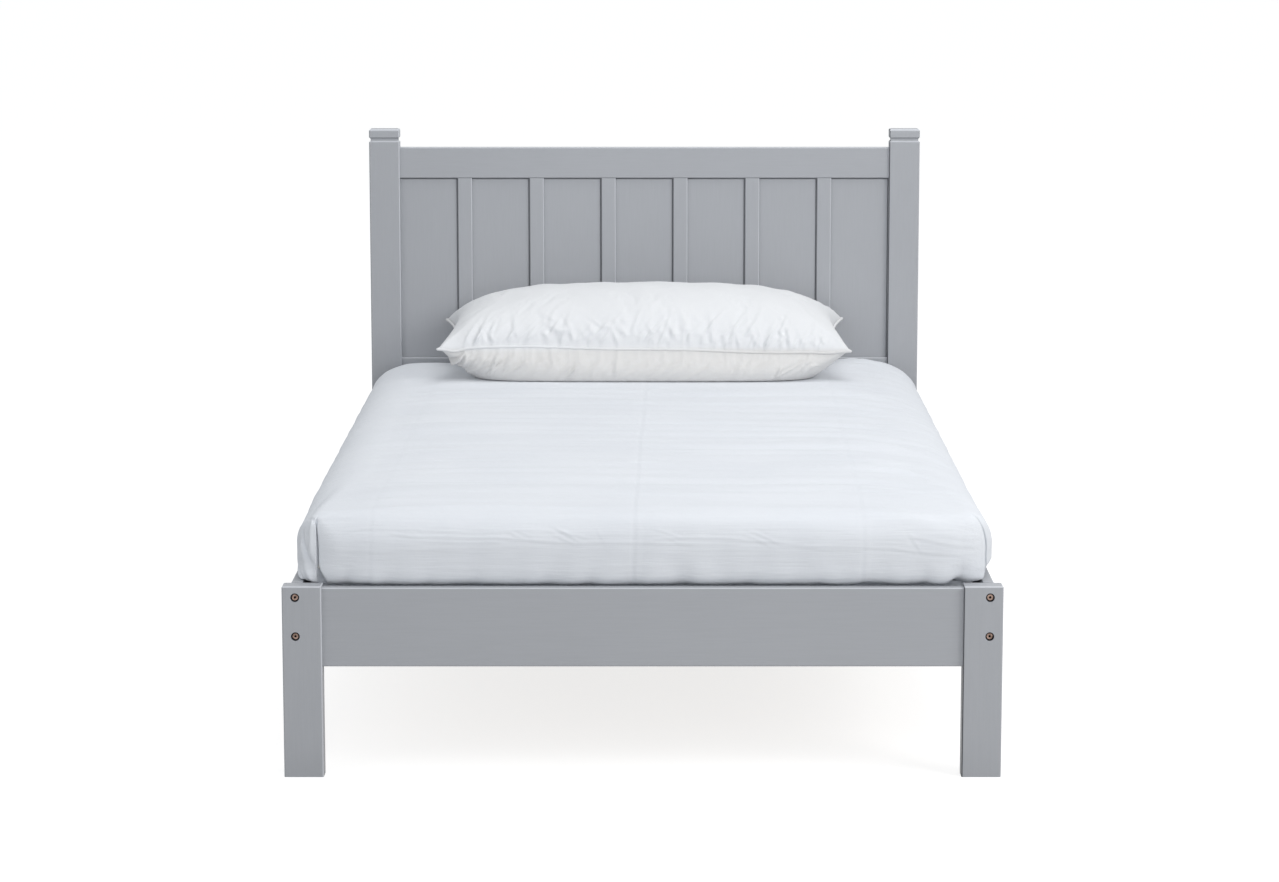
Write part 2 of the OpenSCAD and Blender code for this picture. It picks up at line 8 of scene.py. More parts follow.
import logging
import math
from collections.abc import Sequence
from dataclasses import dataclass, field, replace
from enum import Enum

import bmesh
import bpy
import numpy as np
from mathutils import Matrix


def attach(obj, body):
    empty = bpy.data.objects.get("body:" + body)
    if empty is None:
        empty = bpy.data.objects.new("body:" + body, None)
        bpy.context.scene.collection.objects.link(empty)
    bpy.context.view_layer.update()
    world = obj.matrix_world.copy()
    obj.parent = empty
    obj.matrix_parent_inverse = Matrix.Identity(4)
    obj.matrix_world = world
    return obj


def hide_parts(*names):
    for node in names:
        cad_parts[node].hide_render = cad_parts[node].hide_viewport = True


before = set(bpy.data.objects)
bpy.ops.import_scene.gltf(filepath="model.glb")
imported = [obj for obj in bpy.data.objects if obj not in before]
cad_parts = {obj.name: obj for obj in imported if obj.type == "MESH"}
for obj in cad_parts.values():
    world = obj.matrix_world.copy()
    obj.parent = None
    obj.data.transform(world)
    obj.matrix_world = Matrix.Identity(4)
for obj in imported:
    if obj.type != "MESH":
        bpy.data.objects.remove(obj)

Array = np.ndarray
Colour = tuple[float, float, float]

logging.basicConfig(level=logging.INFO, format="%(message)s")
log = logging.getLogger("bed")


# The frame's sizes


def node_box(name: str) -> tuple[Array, Array]:
    """Lowest and highest corner of a CAD node, to the micrometre.

    Args:
        name: Name of the node.

    Returns:
        The two corners.
    """
    corners = np.round(np.array(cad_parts[name].bound_box, float), 6)
    return corners.min(0), corners.max(0)


# Arrays and meshes


def ease(x: Array, low: float, high: float) -> Array:
    """Smooth step: nought at low, one at high and 3t^2 - 2t^3 between them.

    Args:
        x: The values.
        low: Where the step starts. It may be above high, and then the step falls.
        high: Where the step ends.

    Returns:
        The step at each value.
    """
    t = np.clip((x - low) / (high - low), 0, 1)
    return t * t * (3 - 2 * t)


def bell(x: Array, width: float) -> Array:
    """Bell curve of height one, the exponential of minus the square of x over width."""
    return np.exp(-((x / width) ** 2))


def ripples(x: Array, y: Array, seed: int, count: int, shortest: float, longest: float,
            slant: float) -> Array:
    """Sum of sine waves of many lengths and directions, divided by the root of their number.

    Args:
        x: Positions along the crests.
        y: Positions across the crests.
        seed: Seed of the waves' lengths, directions and phases.
        count: Number of waves.
        shortest: Shortest wavelength.
        longest: Longest wavelength.
        slant: Largest angle in radians between a crest and the x direction.

    Returns:
        The sum at each position, mostly between -1 and 1.
    """
    rng = np.random.default_rng(seed)
    total = np.zeros(np.broadcast(x, y).shape)
    for _ in range(count):
        angle = rng.uniform(-slant, slant)
        length = rng.uniform(shortest, longest)
        phase = rng.uniform(0, math.tau)
        total += np.sin(math.tau * (y * math.cos(angle) + x * math.sin(angle)) / length + phase)
    return total / math.sqrt(count)


def softened(grid: Array, times: int) -> Array:
    """A grid in which, some times over, each value becomes half itself and a quarter of the two beside it.

    Args:
        grid: The values.
        times: How often, along the columns and along the rows.

    Returns:
        The softened values.
    """
    for _ in range(times):
        tall = np.pad(grid, ((1, 1), (0, 0)), mode="edge")
        grid = tall[1:-1] / 2 + (tall[:-2] + tall[2:]) / 4
        wide = np.pad(grid, ((0, 0), (1, 1)), mode="edge")
        grid = wide[:, 1:-1] / 2 + (wide[:, :-2] + wide[:, 2:]) / 4
    return grid


def refined(grid: Array) -> Array:
    """A grid of values with one more halfway between each two neighbours, along the rows and the columns.

    Args:
        grid: The values.

    Returns:
        The finer grid.
    """
    for _ in range(2):
        finer = np.empty((2 * len(grid) - 1, grid.shape[1]))
        finer[::2], finer[1::2] = grid, (grid[1:] + grid[:-1]) / 2
        grid = finer.T
    return grid


def outward(points: Array) -> Array:
    """Unit normals of a grid of points: the cross product of the differences along its rows and columns.

    Args:
        points: The points, by row and column.

    Returns:
        The normals.
    """
    across, along = np.gradient(points, axis=(0, 1))
    normal = np.cross(along, across)
    return normal / np.maximum(np.linalg.norm(normal, axis=-1, keepdims=True), 1e-12)


def spread(stops: Sequence[float], counts: Sequence[int]) -> Array:
    """Even steps from each stop to the next.

    Args:
        stops: The stops in order.
        counts: For each stop but the last, the number of steps to the next.

    Returns:
        The values in order, without the last stop.
    """
    runs = zip(stops, stops[1:], counts)
    return np.concatenate([np.linspace(a, b, n, endpoint=False) for a, b, n in runs])


def grid_faces(rows: int, cols: int, around: bool) -> Array:
    """Quads between the neighbours of a grid of points.

    Args:
        rows: Number of rows.
        cols: Number of points in a row.
        around: Whether the last point of a row joins its first.

    Returns:
        Four point numbers for each quad, in the order this point, next in the row, next in both, next row.
    """
    r = np.arange(rows - 1)[:, None] * cols
    c = np.arange(cols if around else cols - 1)[None, :]
    a, b = r + c, r + (c + 1) % cols
    return np.stack([a, b, b + cols, a + cols], -1).reshape(-1, 4)


def make_piece(name: str, points: Array, quads: Array, uv: Array | None = None,
               merge: float = 0.0) -> bpy.types.Object:
    """Puts points and quads into a smooth mesh object at the origin.

    Args:
        name: Name of the piece.
        points: Point positions, in any shape that ends in three.
        quads: Point numbers of the quads.
        uv: Flat cloth coordinates of the points, if the finish follows the cloth.
        merge: Distance under which points become one, or nought to leave them.

    Returns:
        The object.
    """
    points = np.ascontiguousarray(points.reshape(-1, 3), np.float32)
    mesh = bpy.data.meshes.new(name)
    mesh.vertices.add(len(points))
    mesh.vertices.foreach_set("co", points.ravel())
    mesh.loops.add(quads.size)
    mesh.loops.foreach_set("vertex_index", np.ascontiguousarray(quads.ravel(), np.int32))
    mesh.polygons.add(len(quads))
    mesh.polygons.foreach_set("loop_start", np.arange(0, quads.size, 4, dtype=np.int32))
    mesh.update(calc_edges=True)
    if uv is not None:
        corners = uv.reshape(-1, 2)[quads.ravel()]
        layer = mesh.uv_layers.new(name="cloth")
        layer.data.foreach_set("uv", np.ascontiguousarray(corners, np.float32).ravel())
    if merge > 0:
        shell = bmesh.new()
        shell.from_mesh(mesh)
        bmesh.ops.remove_doubles(shell, verts=shell.verts, dist=merge)
        bmesh.ops.dissolve_degenerate(shell, edges=shell.edges, dist=merge / 10)
        shell.to_mesh(mesh)
        shell.free()
    mesh.validate()
    mesh.shade_smooth()
    piece = bpy.data.objects.new(name, mesh)
    bpy.context.scene.collection.objects.link(piece)
    return piece


def tube(name: str, path: Array, radius: float, sides: int = 8) -> bpy.types.Object:
    """Closed tube round a closed path: each point of the path plus a circle of the radius across the path.

    Args:
        name: Name of the piece.
        path: Points of the path, the last joined to the first.
        radius: Radius of the tube.
        sides: Number of points round the tube.

    Returns:
        The tube as a piece.
    """
    tangent = np.roll(path, -1, 0) - np.roll(path, 1, 0)
    tangent /= np.linalg.norm(tangent, axis=1, keepdims=True)
    side = np.cross(tangent, [0.0, 0.0, 1.0])
    side /= np.linalg.norm(side, axis=1, keepdims=True)
    up = np.cross(side, tangent)
    angle = np.linspace(0, math.tau, sides, endpoint=False)[None, :, None]
    points = path[:, None] + radius * (np.cos(angle) * side[:, None] + np.sin(angle) * up[:, None])
    quads = grid_faces(len(path), sides, True)
    last = (len(path) - 1) * sides + np.arange(sides)
    step = (np.arange(sides) + 1) % sides
    closing = np.stack([last, last[step], step, np.arange(sides)], -1)
    return make_piece(name, points, np.concatenate([quads, closing])[:, ::-1])


# Shader maths


class Wire:
    """An output socket that can be used in sums, products and other expressions of numbers."""

    def __init__(self, bench: "Bench", socket: bpy.types.NodeSocket) -> None:
        """Wraps a socket of the bench's node tree."""
        self.bench = bench
        self.socket = socket

    def _math(self, operation: str, *values: "Wire | float") -> "Wire":
        """Adds a Math node for an operation on the values."""
        return self.bench.wire("ShaderNodeMath", {"operation": operation}, dict(enumerate(values)))

    def __add__(self, other: "Wire | float") -> "Wire":
        """Sum."""
        return self._math("ADD", self, other)

    def __sub__(self, other: "Wire | float") -> "Wire":
        """Difference."""
        return self._math("SUBTRACT", self, other)

    def __mul__(self, other: "Wire | float") -> "Wire":
        """Product."""
        return self._math("MULTIPLY", self, other)

    def __truediv__(self, other: "Wire | float") -> "Wire":
        """Quotient."""
        return self._math("DIVIDE", self, other)

    def __rsub__(self, other: float) -> "Wire":
        """Difference from a plain number."""
        return self._math("SUBTRACT", other, self)

    __radd__, __rmul__ = __add__, __mul__

    def size(self) -> "Wire":
        """Absolute value."""
        return self._math("ABSOLUTE", self)

    def sine(self) -> "Wire":
        """Sine of an angle in radians."""
        return self._math("SINE", self)

    def power(self, exponent: float) -> "Wire":
        """Power with a fixed exponent."""
        return self._math("POWER", self, exponent)

    def most(self, other: "Wire | float") -> "Wire":
        """The larger of two values."""
        return self._math("MAXIMUM", self, other)

    def step(self, low: float, high: float) -> "Wire":
        """Smooth step from nought at low to one at high."""
        return self.bench.wire("ShaderNodeMapRange", {"interpolation_type": "SMOOTHSTEP"},
                               {"Value": self, "From Min": low, "From Max": high})


class Bench:
    """The node tree of one material or world, with one method that adds any node."""

    def __init__(self, name: str, kept_in: str = "materials") -> None:
        """Starts a material, or what else is kept in that list of Blender's data, with an empty tree.

        Args:
            name: Its name.
            kept_in: Name of the list.
        """
        self.made = getattr(bpy.data, kept_in).new(name)
        self.made.use_nodes = True
        self.tree = self.made.node_tree
        self.tree.nodes.clear()

    def node(self, kind: str, settings: dict | None = None, inputs: dict | None = None) -> bpy.types.Node:
        """Adds a node.

        Args:
            kind: The node's type.
            settings: Its settings, which are set first. The stops of a ramp are given under "stops".
            inputs: Values or wires of its sockets, by name or number.

        Returns:
            The node.
        """
        made = self.tree.nodes.new(kind)
        for key, value in (settings or {}).items():
            if key == "stops":
                ramp = made.color_ramp
                for place, colour in value[len(ramp.elements):]:
                    ramp.elements.new(place)
                for element, (place, colour) in zip(ramp.elements, value):
                    element.position, element.color = place, (*colour, 1.0)
            else:
                setattr(made, key, value)
        for key, value in (inputs or {}).items():
            if isinstance(value, Wire):
                self.tree.links.new(value.socket, made.inputs[key])
            else:
                made.inputs[key].default_value = value
        return made

    def wire(self, kind: str, settings: dict | None = None, inputs: dict | None = None,
             output: int | str = 0) -> Wire:
        """Adds a node and wraps one of its outputs."""
        return Wire(self, self.node(kind, settings, inputs).outputs[output])

    def place(self) -> Wire:
        """Position on the piece in metres."""
        return self.wire("ShaderNodeTexCoord", output="Object")

    def cloth(self) -> Wire:
        """Flat cloth coordinates in metres."""
        return self.wire("ShaderNodeUVMap", {"uv_map": "cloth"})

    def stretched(self, vector: Wire, scale: tuple[float, float, float]) -> Wire:
        """The vector scaled along each axis."""
        return self.wire("ShaderNodeMapping", {}, {"Vector": vector, "Scale": scale})

    def noise(self, vector: Wire, scale: float, detail: float = 2.0, roughness: float = 0.5) -> Wire:
        """Soft noise between nought and one."""
        return self.wire("ShaderNodeTexNoise", {}, {"Vector": vector, "Scale": scale, "Detail": detail,
                                                    "Roughness": roughness})

    def axes(self, vector: Wire) -> list[Wire]:
        """The three numbers of a vector."""
        parts = self.node("ShaderNodeSeparateXYZ", {}, {"Vector": vector})
        return [Wire(self, socket) for socket in parts.outputs]

    def blend(self, mask: Wire | float, first: "Wire | Colour", second: "Wire | Colour") -> Wire:
        """Mix of two colours: the first where the mask is nought, the second where it is one."""
        ends = [c if isinstance(c, Wire) else (*c, 1.0) for c in (first, second)]
        return self.wire("ShaderNodeMix", {"data_type": "RGBA"}, {0: mask, 6: ends[0], 7: ends[1]}, 2)

    def bump(self, height: Wire, distance: float, strength: float = 1.0, under: Wire | None = None) -> Wire:
        """Normal of a height, on top of another bump if there is one.

        Args:
            height: The height, in units of the distance.
            distance: The unit.
            strength: How strongly it shows.
            under: Normal of the bump below.

        Returns:
            The normal.
        """
        inputs = {"Height": height, "Distance": distance, "Strength": strength}
        if under is not None:
            inputs["Normal"] = under
        return self.wire("ShaderNodeBump", {}, inputs)

    def rays(self, *kinds: str) -> Wire:
        """Tells light rays apart.

        Args:
            kinds: First words of the Light Path node's outputs.

        Returns:
            One for a ray of any of these kinds and nought for others.
        """
        path = self.node("ShaderNodeLightPath")
        found = Wire(self, path.outputs[f"Is {kinds[0]} Ray"])
        for kind in kinds[1:]:
            found = found.most(Wire(self, path.outputs[f"Is {kind} Ray"]))
        return found

    def finish(self, **sockets: "Wire | float | tuple") -> bpy.types.Material:
        """Adds the surface shader and ends the material.

        Args:
            sockets: Values or wires of the shader's sockets, named with _ for a space.

        Returns:
            The material.
        """
        inputs = {key.replace("_", " "): value for key, value in sockets.items()}
        shader = self.wire("ShaderNodeBsdfPrincipled", {}, inputs)
        self.node("ShaderNodeOutputMaterial", {}, {"Surface": shader})
        return self.made


# Finishes


class Along(Enum):
    """Direction in which a piece of wood runs."""

    X = 0
    Y = 1
    Z = 2

    def stretch(self, amount: float) -> tuple[float, float, float]:
        """Scale that draws a pattern out along this direction."""
        return tuple(amount if axis == self.value else 1.0 for axis in range(3))


@dataclass(frozen=True)
class Bores:
    """Places of the bolts: pairs of axes along the bed, one pair above the other at each side."""

    x: float
    low: float
    high: float

    def within(self, place: Wire, radius: float) -> Wire:
        """One closer to an axis than the radius and nought farther off.

        Args:
            place: Position on the piece.
            radius: Distance from the axis at which the mask falls.

        Returns:
            The mask.
        """
        x, _, z = place.bench.axes(place)
        soft = 0.0004
        aside = x.size() - self.x
        above = (z - (self.low + self.high) / 2).size() - (self.high - self.low) / 2
        return 1.0 - (aside * aside + above * above).power(0.5).step(radius, radius + soft)


@dataclass(frozen=True)
class BrushedPaint:
    """Blue-grey satin paint, brushed along the wood, with faint handling marks and duller, dirtier feet.

    Rounded edges that face right or up get a pale painted highlight. Those turned away get near-black
    painted shade, and so do the panels' joint slots and the bolt bores, as shade in these recesses.
    """

    name: str
    along: Along
    # Strength of the painted highlight on rounded edges that face right or up.
    highlight_strength: float = 0.75
    # Strength of the painted shade on rounded edges turned away.
    shade_strength: float = 0.30
    outer: float = field(default_factory=lambda: float(node_box("head_post_right")[1][0]))
    # Place along the bed of the bottom of the panel's slot, which gets painted shade.
    joint: float | None = None
    # Bolt bores, which get painted shade.
    bores: Bores | None = None
    colour: Colour = (0.408, 0.421, 0.448)
    soiled: Colour = (0.335, 0.345, 0.365)
    bare: Colour = (0.470, 0.484, 0.510)
    # Colour of the painted highlight.
    pale: Colour = (0.640, 0.660, 0.700)
    # Colour of the painted shade on edges, joints and bores.
    painted_shade: Colour = (0.035, 0.037, 0.046)

    def edges(self, bench: Bench, place: Wire) -> tuple[Wire, Wire]:
        """Masks of the painted highlight and of the painted shade on the rounded edges.

        Rounded edges are where the normal lies between the axes. Those at the bed's outline count less.

        Args:
            bench: The material's bench.
            place: Position on the piece.

        Returns:
            The two masks.
        """
        across, along, up = bench.axes(bench.wire("ShaderNodeTexCoord", output="Normal"))
        rounded = 1.0 - across.size().most(along.size()).most(up.size()).step(0.90, 0.99)
        inside = 1.0 - bench.axes(place)[0].size().step(self.outer - 0.016, self.outer - 0.006) * 0.75
        # Painted highlight on rounded edges that face right or up, and painted shade on those turned away,
        # as light from the upper right would fall.
        lit = rounded * (across * inside + up).step(0.05, 0.60)
        turned = rounded * (0.0 - across * inside - up * 0.4).step(0.05, 0.60)
        return lit * self.highlight_strength, turned * self.shade_strength

    def material(self) -> bpy.types.Material:
        """Makes the material: clouds and streaks of tone, soil, a painted highlight on edges, and painted
        shade on edges, joints and bores.

        Returns:
            The material.
        """
        bench = Bench(self.name)
        place = bench.place()
        streaks = bench.noise(bench.stretched(place, self.along.stretch(0.035)), 420.0, 3.0, 0.6)
        pores = bench.noise(bench.stretched(place, self.along.stretch(0.02)), 1500.0, 2.0)
        clouds = bench.noise(place, 3.2, 3.0)
        nibs = bench.wire("ShaderNodeTexVoronoi", {"feature": "F1"}, {"Vector": place, "Scale": 95.0})
        specks = 1.0 - nibs.step(0.02, 0.09)
        _, y, z = bench.axes(place)
        soil = (1.0 - z.step(0.0, 0.09)) * clouds.step(0.35, 0.7) * 0.45
        lit, turned = self.edges(bench, place)
        tone = bench.blend(clouds.step(0.25, 0.75) * 0.22, self.colour, self.bare)
        tone = bench.blend(streaks.step(0.3, 0.75) * 0.16, tone, self.soiled)
        tone = bench.blend(soil, tone, self.soiled)
        # Painted highlight on the lit edges.
        tone = bench.blend(lit, tone, self.pale)
        # Painted shade in the panel's joint slot and in the bolt bores, joined to that of the turned edges.
        if self.joint is not None:
            turned = turned.most((1.0 - (y - self.joint).size().step(0.0004, 0.0020)) * 0.40)
        if self.bores is not None:
            turned = turned.most(self.bores.within(place, 0.0076))
        # The painted shade is blended in.
        tone = bench.blend(turned, tone, self.painted_shade)
        rough = 0.40 + streaks * 0.12 + clouds * 0.10 + soil * 0.3 + turned * 0.3
        height = streaks * 0.6 + pores * 0.25 + specks * 0.5
        return bench.finish(Base_Color=tone, Roughness=rough, Normal=bench.bump(height, 0.00022, 0.7),
                            Specular_IOR_Level=0.45)


@dataclass(frozen=True)
class SawnPine:
    """Bare planed pine with growth rings drawn out along the wood, darker late wood and a few knots."""

    along: Along
    pale: Colour = (0.640, 0.445, 0.235)
    dark: Colour = (0.430, 0.245, 0.095)
    knot: Colour = (0.175, 0.080, 0.032)

    def material(self) -> bpy.types.Material:
        """Makes the material: the rings are a sine of drawn-out noise, and knots lie in few of the cells.

        Returns:
            The material.
        """
        bench = Bench(f"sawn_pine_{self.along.name.lower()}")
        place = bench.place()
        drawn = bench.stretched(place, self.along.stretch(0.07))
        warp = bench.noise(drawn, 14.0, 2.0)
        rings = bench.wire("ShaderNodeTexNoise", {},
                           {"Vector": drawn, "Scale": 52.0, "Detail": 1.0, "Distortion": 0.6})
        late = ((rings * 9.0 + warp * 5.0) * math.pi).sine().step(-0.2, 1.0)
        fibre = bench.noise(bench.stretched(place, self.along.stretch(0.02)), 900.0, 2.0)
        cells = bench.wire("ShaderNodeTexVoronoi", {"feature": "F1"},
                           {"Vector": bench.stretched(place, self.along.stretch(0.45)), "Scale": 7.5})
        knots = 1.0 - cells.step(0.035, 0.085)
        tone = bench.blend(late * 0.55, self.pale, self.dark)
        tone = bench.blend(fibre * 0.22, tone, self.dark)
        tone = bench.blend(knots * 0.85, tone, self.knot)
        return bench.finish(Base_Color=tone, Roughness=0.52 + fibre * 0.2,
                            Normal=bench.bump(late * 0.4 + fibre * 0.5, 0.00025, 0.8))


@dataclass(frozen=True)
class Metal:
    """Turned or pressed metal with a worn surface film."""

    name: str
    colour: Colour
    worn: Colour
    roughness: float = 0.34

    def material(self, sockets: Bores | None = None) -> bpy.types.Material:
        """Makes the material.

        Args:
            sockets: Axes of the sockets, which are darkened with painted shade, if there are any.

        Returns:
            The material.
        """
        bench = Bench(self.name)
        place = bench.place()
        film = bench.noise(place, 190.0, 3.0)
        scratches = bench.noise(bench.stretched(place, (1.0, 0.05, 1.0)), 2600.0, 1.0)
        tone = bench.blend(film.step(0.42, 0.68), self.colour, self.worn)
        # Painted shade: the hex sockets are darkened near-black.
        if sockets is not None:
            tone = bench.blend(sockets.within(place, 0.0021), tone, (0.012, 0.010, 0.009))
        rough = self.roughness + film * 0.15 + scratches * 0.08
        return bench.finish(Base_Color=tone, Metallic=1.0, Roughness=rough,
                            Normal=bench.bump(scratches, 0.00004, 0.6))


@dataclass(frozen=True)
class Cotton:
    """Plain-woven cotton: fine crossed threads, slubs, soft rumples and the creases of its packing.

    Each crease is a place across the bed and a strength. Below a height, if one is given, the tone is
    darker and warmer, as painted shade on the underside.
    """

    name: str
    colour: Colour
    shade: Colour
    thread: float = 0.0009
    rumple: float = 0.0008
    creases: tuple[tuple[float, float], ...] = ()
    below: float | None = None
    # Colour of the painted shade below the height: darker and warmer.
    underside_shade: Colour = (0.700, 0.694, 0.687)

    def material(self) -> bpy.types.Material:
        """Makes the material: the weave is a product of two sines, and a crease is a ridge beside a groove.

        Returns:
            The material.
        """
        bench = Bench(self.name)
        place, cloth = bench.place(), bench.cloth()
        across, along, _ = bench.axes(cloth)
        turn = math.tau / self.thread
        weave = (across * turn).sine() * (along * turn).sine()
        slubs = bench.noise(bench.stretched(cloth, (1.0, 0.04, 1.0)), 900.0, 2.0)
        picks = bench.noise(bench.stretched(cloth, (0.04, 1.0, 1.0)), 900.0, 2.0)
        soft = bench.noise(bench.stretched(place, (0.55, 1.0, 1.0)), 34.0, 3.0, 0.55)
        clouds = bench.noise(place, 4.5, 2.0)
        height = soft
        if self.creases:
            x, y, _ = bench.axes(place)
            sway = bench.noise(bench.stretched(place, (0.0, 1.0, 1.0)), 2.2, 2.0) * 0.016 - 0.008
            for line, strength in self.creases:
                away = x - sway - y * 0.013 - line
                height = height - (1.0 - (away + 0.004).size().step(0.0, 0.008)) * strength
                height = height + (1.0 - (away - 0.004).size().step(0.0, 0.010)) * strength
            streaks = bench.noise(bench.stretched(place, (0.05, 1.0, 1.0)), 19.0, 5.0, 0.6)
            height = height + streaks * 6.0
        tone = bench.blend(clouds.step(0.3, 0.75) * 0.35, self.colour, self.shade)
        # Painted shade: below the height the tone turns darker and warmer.
        if self.below is not None:
            _, y, z = bench.axes(place)
            under = (z - y * 0.073).step(self.below - 0.034, self.below - 0.050)
            tone = bench.blend(under, tone, self.underside_shade)
        tone = bench.blend((slubs + picks).step(0.95, 1.35) * 0.30, tone, self.shade)
        normal = bench.bump(height, self.rumple)
        normal = bench.bump(weave * 0.5 + slubs * 0.7 + picks * 0.7, 0.00007, 0.8, normal)
        return bench.finish(Base_Color=tone, Roughness=0.86 + slubs * 0.1, Normal=normal,
                            Specular_IOR_Level=0.22, Sheen_Weight=0.12, Sheen_Roughness=0.55)


@dataclass(frozen=True)
class Ticking:
    """Knitted mattress cover with a fine rib and small stitched diamonds."""

    colour: Colour = (0.70, 0.69, 0.655)
    stitch: Colour = (0.50, 0.49, 0.46)
    rib: float = 0.0032
    diamond: float = 0.055

    def material(self) -> bpy.types.Material:
        """Makes the material: a rib across x + z, and seams where the sines of x + y or x - y vanish.

        Returns:
            The material.
        """
        bench = Bench("ticking")
        place = bench.place()
        x, y, z = bench.axes(place)
        rib = ((x + z) * (math.tau / self.rib)).sine()
        a, b = ((across * (math.pi / self.diamond)).sine().size() for across in (x + y, x - y))
        seam = (1.0 - a.step(0.0, 0.06)).most(1.0 - b.step(0.0, 0.06))
        fuzz = bench.noise(place, 700.0, 2.0)
        tone = bench.blend(seam * 0.6, self.colour, self.stitch)
        tone = bench.blend(fuzz * 0.25, tone, self.stitch)
        return bench.finish(Base_Color=tone, Roughness=0.9 + fuzz * 0.05,
                            Normal=bench.bump(rib * 0.15 + fuzz * 0.2 - seam, 0.0012))


# The timber frame


@dataclass
class TimberFrame:
    """The painted headboard, foot end and side rails, the pine slat deck, and the fixings."""

    bolt_head: float = 0.0105
    bronze: Metal = Metal("bronzed_steel", (0.330, 0.235, 0.195), (0.150, 0.100, 0.080), 0.38)
    zinc: Metal = Metal("zinc_plated_steel", (0.610, 0.620, 0.635), (0.410, 0.425, 0.450), 0.30)
    yellow: Metal = Metal("yellow_passivated_steel", (0.680, 0.500, 0.210), (0.450, 0.340, 0.180), 0.32)

    def finishes(self) -> dict[str, bpy.types.Material]:
        """Makes the frame's materials.

        Returns:
            The material of each CAD node of the frame, by the first words of the node's name.
        """
        radius = self.bolt_head / 2
        low, high = node_box("frame_bolts")
        bolts = Bores(high[0] - radius, low[2] + radius, high[2] - radius)
        low, high = node_box("head_panel_1")
        # The two numbers after the direction are the strengths of the painted highlight and of the painted
        # shade on rounded edges.
        post = BrushedPaint("paint_post", Along.Z, 0.85, 0.88, bores=bolts).material()
        muntin = BrushedPaint("paint_muntin", Along.Z, 0.90, 0.35).material()
        panel = BrushedPaint("paint_panel", Along.Z, joint=(low[1] + high[1]) / 2).material()
        rail = BrushedPaint("paint_rail", Along.X, 0.80, 0.40).material()
        side = BrushedPaint("paint_side", Along.Y, 0.50, 0.30).material()
        pine = {along: SawnPine(along).material() for along in Along}
        bronze, zinc, yellow = self.bronze.material(bolts), self.zinc.material(), self.yellow.material()
        return {
            "head_post": post, "foot_post": post, "muntin": muntin, "head_panel": panel,
            "head_top_rail": rail, "head_mid_rail": rail, "head_low_rail": rail, "foot_rail": rail,
            "side_rail": side, "slat": pine[Along.X], "ledge_left": pine[Along.Y],
            "ledge_right": pine[Along.Y], "centre_rail": pine[Along.Y], "centre_leg": pine[Along.Z],
            "locating_dowels": pine[Along.Y],
            "frame_bolts": bronze, "barrel_nuts": zinc, "hanger_foot": zinc, "hanger_head": zinc,
            "hanger_screws": zinc, "leg_stud": zinc, "ledge_screws": yellow, "slat_screws": yellow,
        }

    def dress(self) -> None:
        """Gives every node of the frame its finish.

        The first match counts, so "slat" also takes slat_screws: they show pine and not the steel listed.
        """
        finishes = self.finishes()
        for name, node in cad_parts.items():
            found = [m for start, m in finishes.items() if name == start or name.startswith(start + "_")]
            for slot in node.material_slots if found else ():
                slot.material = found[0]
        log.info("frame: %d solids dressed", len(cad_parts))


# The bedding's outline


@dataclass(frozen=True)
class Band:
    """A smooth step that starts at one value and is full at another, which may be the lower one."""

    start: float
    full: float

    def at(self, x: Array) -> Array:
        """Share of the step at each value."""
        return ease(x, self.start, self.full)


@dataclass(frozen=True)
class Swell:
    """A bell-shaped rise along one direction."""

    middle: float
    width: float
    height: float

    def at(self, x: Array) -> Array:
        """Height of the rise at each place."""
        return self.height * bell(x - self.middle, self.width)


@dataclass(frozen=True)
class Crosscut:
    """Profile of the bedding from the middle of its top out to the edge, down the side and in under it.

    Each station has an inset from the widest outline at the sides, one at the foot, a height over the
    underside, and the outward and upward parts of the surface's normal.
    """

    side: Array
    foot: Array
    height: Array
    out: Array
    up: Array


